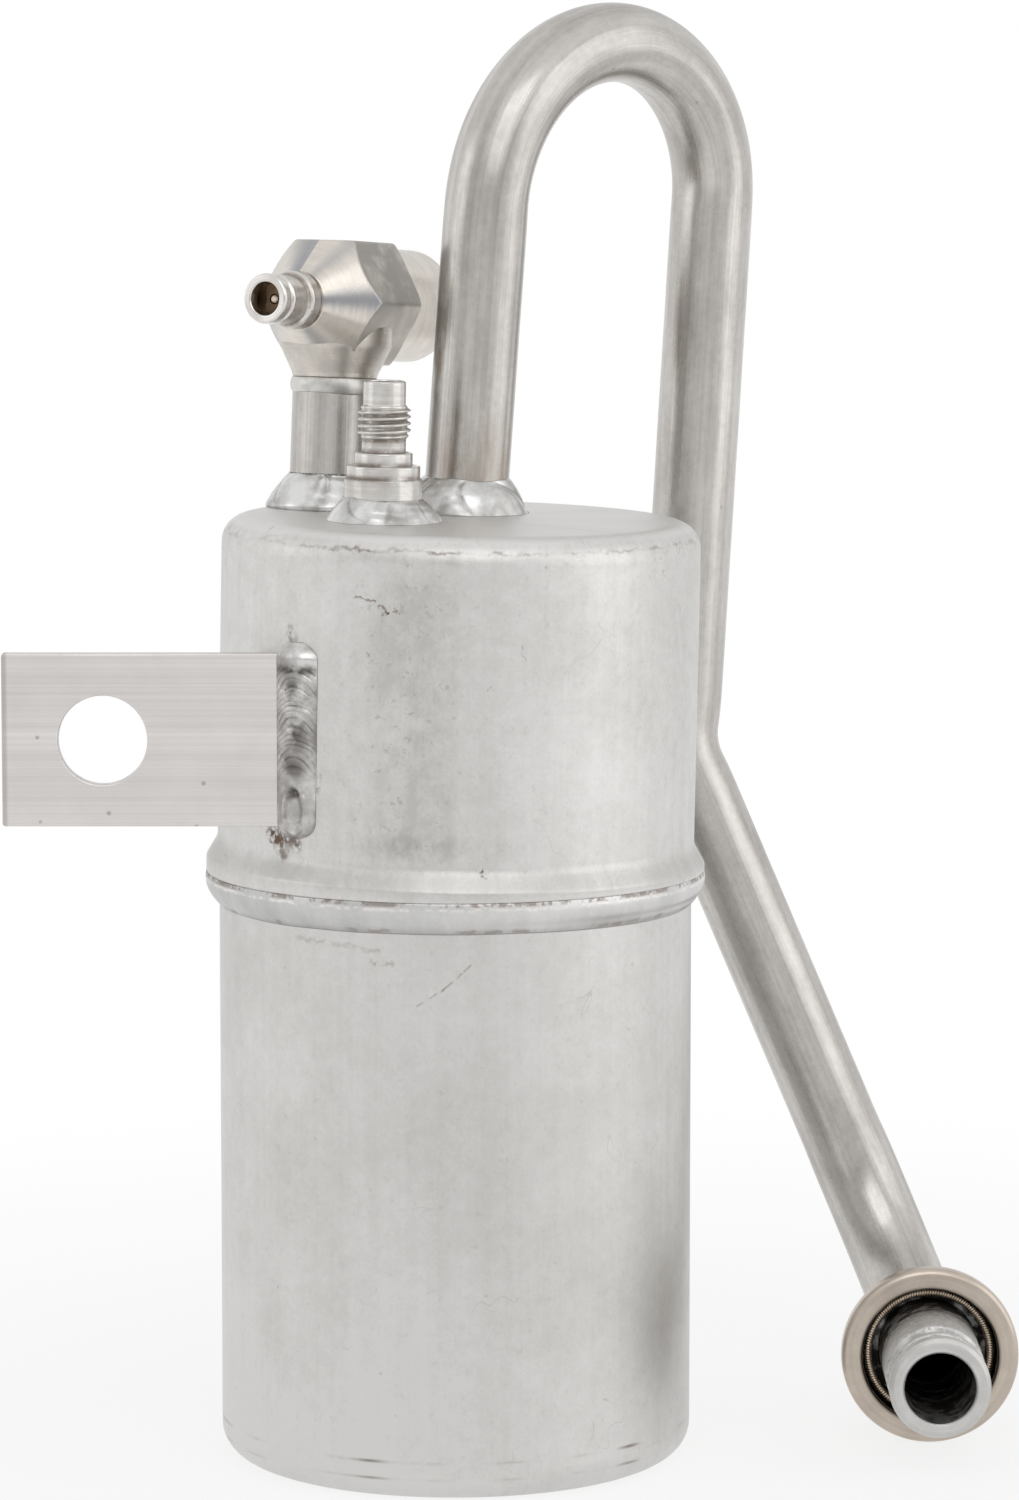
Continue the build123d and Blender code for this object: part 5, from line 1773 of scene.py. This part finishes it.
        small = 1e-4
        way = centre(turn + small, wind + small * self.ring_turns) - centre(turn, wind)
        way /= np.linalg.norm(way, axis=1)[:, None]
        out = np.stack([np.cos(wind) * np.cos(turn), np.cos(wind) * np.sin(turn), np.sin(wind)], axis=-1)
        side = np.cross(way, out)
        side /= np.linalg.norm(side, axis=1)[:, None]
        out = np.cross(side, way)
        _, cosine, sine = circle(6)
        ring = out[:, None] * cosine[None, :, None] + side[:, None] * sine[None, :, None]
        local = centre(turn, wind)[:, None] + ring * self.ring_wire
        lay = np.stack([np.tile(cosine, (len(turn), 1)), np.tile(sine, (len(turn), 1)),
                        np.tile(turn[:, None] * self.ring * MM, (1, 6))], axis=-1)
        patch = Patch(self.frame().carry(local), lay)
        return make("ring_spring", patch, Slot.SPRING, material, "outlet_garter_spring")


def half_turn(before: np.ndarray, here: np.ndarray, after: np.ndarray) -> float:
    """Tangent of half the turn between two straight runs."""
    first, second = here - before, after - here
    cosine = first @ second / np.linalg.norm(first) / np.linalg.norm(second)
    return math.tan(math.acos(float(np.clip(cosine, -1, 1))) / 2)


@dataclass
class CoreSpring:
    """The coil spring behind the pin of a valve core, with depths from the port's mouth."""

    mouth: Frame
    near: float = 11.58
    far: float = 15.27
    floor: float = 15.5
    radius: float = 1.4
    wire: float = 0.2
    turns: int = 4
    pressed_share: float = 0.63

    def build(self, core: str, material: bpy.types.Material) -> bpy.types.Object:
        """Build the spring.

        The wire's centre at angle a is (r cos a, r sin a, -depth), with depth rising evenly from near to
        far, and each section is a circle across the wire.
        """
        turn = np.linspace(0, 2 * math.pi * self.turns, 40 * self.turns)
        pitch = (self.far - self.near) / (2 * math.pi * self.turns)
        out = np.stack([np.cos(turn), np.sin(turn), 0 * turn], axis=1)
        line = out * self.radius - np.outer(self.near + turn * pitch, [0, 0, 1.0])
        way = np.stack([-self.radius * np.sin(turn), self.radius * np.cos(turn), 0 * turn - pitch], axis=1)
        side = np.cross(way / np.linalg.norm(way, axis=1)[:, None], out)
        _, cosine, sine = circle(12)
        ring = out[:, None] * cosine[None, :, None] + side[:, None] * sine[None, :, None]
        points = self.mouth.carry(line[:, None] + ring * self.wire)
        ends = self.mouth.carry(line[[0, -1]])
        patch = Patch(points, points * MM, wrap_rows=False, start_pole=ends[0], end_pole=ends[1])
        piece = build_mesh(f"{core}_spring", [patch])
        settle(piece, Slot.SPRING, material, f"{core}_core_spring")
        anchor = self.mouth.carry(np.array([0, 0, -self.floor])) * MM
        tuple(-self.mouth.axis)
        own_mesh(piece)
        return piece


@dataclass
class HiddenParts:
    """Nodes whose CAD shape is right, and the finish that each takes."""

    finishes: dict[str, bpy.types.Material]

    def dress(self) -> None:
        """Put each node's finish on its material slots."""
        for name, material in self.finishes.items():
            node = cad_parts[name]
            node.data.materials.clear()
            node.data.materials.append(material)
            log.info("%s keeps its CAD shape", name)


@dataclass
class Studio:
    """Pale floor, white surround, soft lamps and the camera."""

    camera_at: Triple = (0.0102, -1.110, 0.2707)
    pitch: float = 7.024
    focal_px: float = 5950.0
    floor_half: float = 6.0
    target: Triple = (0.0, 0.0, 0.14)

    def camera(self) -> None:
        """Create the camera: focal length in pixels over the image height, times the sensor height."""
        lens = bpy.data.cameras.new("camera")
        lens.sensor_fit = "VERTICAL"
        lens.sensor_height = 36.0
        lens.lens = self.focal_px / IMAGE_HEIGHT * lens.sensor_height
        lens.clip_start, lens.clip_end = 0.02, 50.0
        made = bpy.data.objects.new("camera", lens)
        made.location = self.camera_at
        made.rotation_euler = (math.radians(90 - self.pitch), 0, 0)
        bpy.context.scene.collection.objects.link(made)
        bpy.context.scene.camera = made

    def floor(self) -> None:
        """Create the floor, white where the camera or a reflection sees it, shaded under the part."""
        reach = self.floor_half
        mesh = bpy.data.meshes.new("floor")
        mesh.from_pydata([(-reach, -reach, 0), (reach, -reach, 0), (reach, reach, 0), (-reach, reach, 0)], [],
                         [(0, 1, 2, 3)])
        made = bpy.data.objects.new("floor", mesh)
        bpy.context.scene.collection.objects.link(made)
        recipe = Recipe("pale_floor")
        recipe.set(Base_Color=tone(246, 246, 245), Roughness=0.9)
        x, y, _ = recipe.parts(recipe.place())
        away = ((x - 0.03) * (x - 0.03) + y * y) ** 0.5
        share = 0.8 + away.step(0.08, 0.4) * 0.2
        camera, glossy, through = recipe.rays("Camera", "Glossy", "Transmission")
        glow = recipe.node("ShaderNodeEmission", None, {"Color": (1, 1, 1, 1), "Strength": 1.0})
        blend = recipe.node("ShaderNodeMixShader", None, {
            0: camera.most(glossy).most(through) * share, 1: recipe.surface.outputs[0], 2: glow.outputs[0]})
        plug(recipe.tree, blend.outputs[0], recipe.output.inputs["Surface"])
        mesh.materials.append(recipe.material)

    def world(self) -> None:
        """Create the surround: white to the camera, and to reflections white with a darker room in front."""
        world = bpy.data.worlds.new("surround")
        bpy.context.scene.world = world
        world.use_nodes = True
        graph = Graph(world.node_tree)
        way = graph.node("ShaderNodeTexCoord").outputs["Generated"]
        camera, through, glossy = graph.rays("Camera", "Transmission", "Glossy")
        seen = camera.most(through)

        def lobe(direction: Triple, sharp: float) -> Val:
            """Soft spot of 1 about a direction."""
            made = graph.node("ShaderNodeVectorMath", {"operation": "DOT_PRODUCT"},
                              {0: way, 1: Vector(direction).normalized()})
            return graph.val(made.outputs["Value"]).most(0.0) ** sharp

        room = lobe((-0.8, -0.6, 0.0), 7.0) * 0.26 + lobe((0.12, -1.0, -0.05), 8.0) * 0.42
        mirrored = 0.99 - room - lobe((0.1, 0.8, 0.62), 7.0) * 0.15
        level = seen + (1.0 - seen) * (glossy * mirrored + (1.0 - glossy) * 0.62)
        back = graph.node("ShaderNodeBackground", None, {"Color": (1, 1, 1, 1), "Strength": level})
        graph.node("ShaderNodeOutputWorld", None, {"Surface": back.outputs[0]})

    def lamp(self, name: str, place: Triple, size: float, power: float) -> None:
        """Create a square soft lamp that looks at the part."""
        light = bpy.data.lights.new(name, "AREA")
        light.shape = "SQUARE"
        light.size = size
        light.energy = power
        made = bpy.data.objects.new(name, light)
        made.location = place
        way = Vector(self.target) - Vector(place)
        made.rotation_euler = way.to_track_quat("-Z", "Y").to_euler()
        bpy.context.scene.collection.objects.link(made)

    def build(self) -> None:
        """Create everything."""
        self.camera()
        self.floor()
        self.world()
        self.lamp("key", (0.1, -0.98, 0.92), 0.9, 2.2)
        self.lamp("side", (1.25, -0.35, 0.55), 1.2, 2.6)
        self.lamp("fill", (-1.1, -0.2, 0.5), 0.6, 0.7)


CAN_STROKES = (
    Stroke((-114.5, 166.5), (-109.6, 165.9), 0.4, 0.62),
    Stroke((-110.0, 165.9), (-106.6, 163.8), 0.44, 0.66),
    Stroke((-107.6, 163.6), (-103.6, 163.9), 0.42, 0.6),
    Stroke((-105.0, 164.6), (-104.0, 163.2), 0.36, 0.5),
    Stroke((-83.3, 117.6), (-81.3, 117.2), 0.3, 0.9),
    Stroke((-83.4, 117.2), (-82.6, 116.2), 0.3, 0.8),
    Stroke((-75.5, 158.0), (-73.6, 155.6), 0.3, 0.3),
    Stroke((-82.4, 150.6), (-82.0, 150.0), 0.45, 0.5),
    Stroke((-111.5, 156.4), (-111.0, 155.9), 0.5, 0.4),
    Stroke((-133.2, 159.4), (-132.0, 157.8), 1.5, 0.55, Mark.SOOT),
    Stroke((-138.5, 121.8), (-130.0, 120.6), 2.4, 0.85, Mark.SOOT),
    Stroke((-137.5, 121.0), (-134.0, 118.0), 2.0, 0.7, Mark.SOOT),
    Stroke((-127.0, 123.0), (-123.5, 133.0), 1.0, 0.35, Mark.SOOT),
)
LOWER_STROKES = (
    Stroke((-98.3, 92.7), (-92.5, 95.4), 0.28, 0.3),
    Stroke((-92.5, 95.4), (-86.1, 99.9), 0.3, 0.4),
    Stroke((-109.5, 100.4), (-104.5, 100.0), 0.8, 0.28),
    Stroke((-130.0, 103.7), (-108.0, 102.3), 0.8, 0.22, Mark.SOOT),
)


def dress_can(can: Can, holes: Sequence[tuple[Frame, float]]) -> None:
    """Build and finish the can."""
    upper = ShellFinish("upper_satin", smudges_and_painted_light=True, strokes=CAN_STROKES)
    # The lower half is a shade darker than the upper: painted shade.
    lower = ShellFinish("lower_satin", base=(214, 213, 211), foot=True, strokes=LOWER_STROKES)
    can.lower(lower.build())
    can.upper(upper.build(), holes)
    can.band(GirthFinish().build())


def main() -> None:
    """Build the studio and every sub-assembly."""
    logging.basicConfig(level=logging.INFO, format="%(name)s %(message)s")
    Studio().build()
    can = Can()
    inlet, stub, outlet = Inlet(can), SwitchStub(can), OutletLine(can)
    strap = Strap(can)
    dress_can(can, [(inlet.frame(), 8.04), (stub.frame(), 5.1), (outlet.foot_frame(), 8.04)])

    bead = BeadFinish("bright_bead").build()
    strap.bar(StrapFinish(sheared_x=strap.left).build())
    strap.front_bead(BeadFinish("rippled_bead", roughness=0.27, sooty=1.0, base=(216, 215, 213),
                                dull=(162, 159, 155), soot=(88, 84, 80)).build())
    strap.rear_bead(bead)

    # Its dirt tone paints shade on one flat of the hexagon, and its fan paints dark reflection sectors on the
    # cone.
    turned = TurnedFinish("bright_turned", base=(222, 215, 206), fan=0.75, hub_until=45.6, grime_and_shade=0.6,
                          even_grime_and_shade=0.9, dirt=(176, 172, 167)).build()
    inlet.riser(TubeFinish("riser_tube", tint_until=16.0).build())
    inlet.bead(bead)
    inlet.block(turned)
    inlet.ring(BeadFinish("filler", roughness=0.34, sooty=0.4, base=(212, 210, 206)).build())
    inlet.port(TurnedFinish("bright_port", roughness=0.16, grime_and_shade=0.8).build())

    stub.stub(TurnedFinish("dull_turned", base=(218, 216, 213), shade=(178, 173, 167), roughness=0.15,
                           grime_and_shade=0.95, dirt=(112, 98, 86)).build())
    stub.bead(bead)

    dashes = ((20.0, 190.0, 4.0), (20.0, 196.5, 3.5))
    outlet.pipe(TubeFinish(dashes=dashes).build())
    outlet.bead(bead)
    # Its dark dirt tone is real grime in the grooves and painted shade in the hidden cavity and bore.
    outlet.spigot_piece(TurnedFinish("rough_turned", base=(210, 209, 207), shade=(176, 175, 172),
                                     roughness=0.4, chips=1.0, grime_and_shade=0.45, dirt=(52, 47, 42),
                                     ring_depth=0.02).build())
    outlet.filler_ring(bead)
    # Its near-black dirt tone at full crease is painted shade inside the cage.
    outlet.cage(TurnedFinish("champagne_plate", base=(198, 187, 175), shade=(172, 160, 148), roughness=0.3,
                             ring_depth=0.004, grime_and_shade=1.0, even_grime_and_shade=1.0, dirt=(34, 30, 27)).build())
    # Painted light: the spring steel's tone is raised so that the ring spring reads bright in its shaded
    # recess; the core springs and pins share it.
    spring = PlainFinish("spring_steel", (236, 222, 204), (196, 180, 160), 0.42, 1.0)
    lightened_steel = spring.build()
    outlet.ring_spring(lightened_steel)
    CoreSpring(inlet.block_frame().shifted(inlet.port_mouth)).build("service", lightened_steel)
    CoreSpring(stub.frame().shifted(stub.mouth)).build("switch", lightened_steel)

    brass = PlainFinish("core_brass", (112, 92, 72), (70, 58, 47), 0.36, 1.0).build()
    rubber = PlainFinish("core_rubber", (34, 33, 32), (22, 22, 22), 0.6).build()
    plastic = PlainFinish("strainer_plastic", (226, 222, 210), (206, 201, 188), 0.42, depth=0.02).build()
    mesh = WeaveFinish("strainer_mesh", (228, 228, 220), (150, 150, 142), 0.5, 0.12, 0.15).build()
    felt = WeaveFinish("bag_felt", (226, 220, 204), (190, 182, 164), 1.6, 0.25, 0.85).build()
    inner = PlainFinish("inner_tube", (204, 202, 199), (168, 165, 160), 0.34, 1.0, 420.0, 0.02).build()
    HiddenParts({
        "service_core_body": brass, "switch_core_body": brass, "service_core_pin": lightened_steel,
        "switch_core_pin": lightened_steel,
        "service_core_seal": rubber, "switch_core_seal": rubber, "pickup_tube": inner,
        "deflector_dome": plastic, "oil_strainer_frame": plastic, "bag_tie": plastic,
        "oil_strainer_mesh": mesh, "desiccant_bag": felt,
    }).dress()

    bpy.context.scene.view_settings.view_transform = "Standard"


if __name__ == "__main__":
    main()
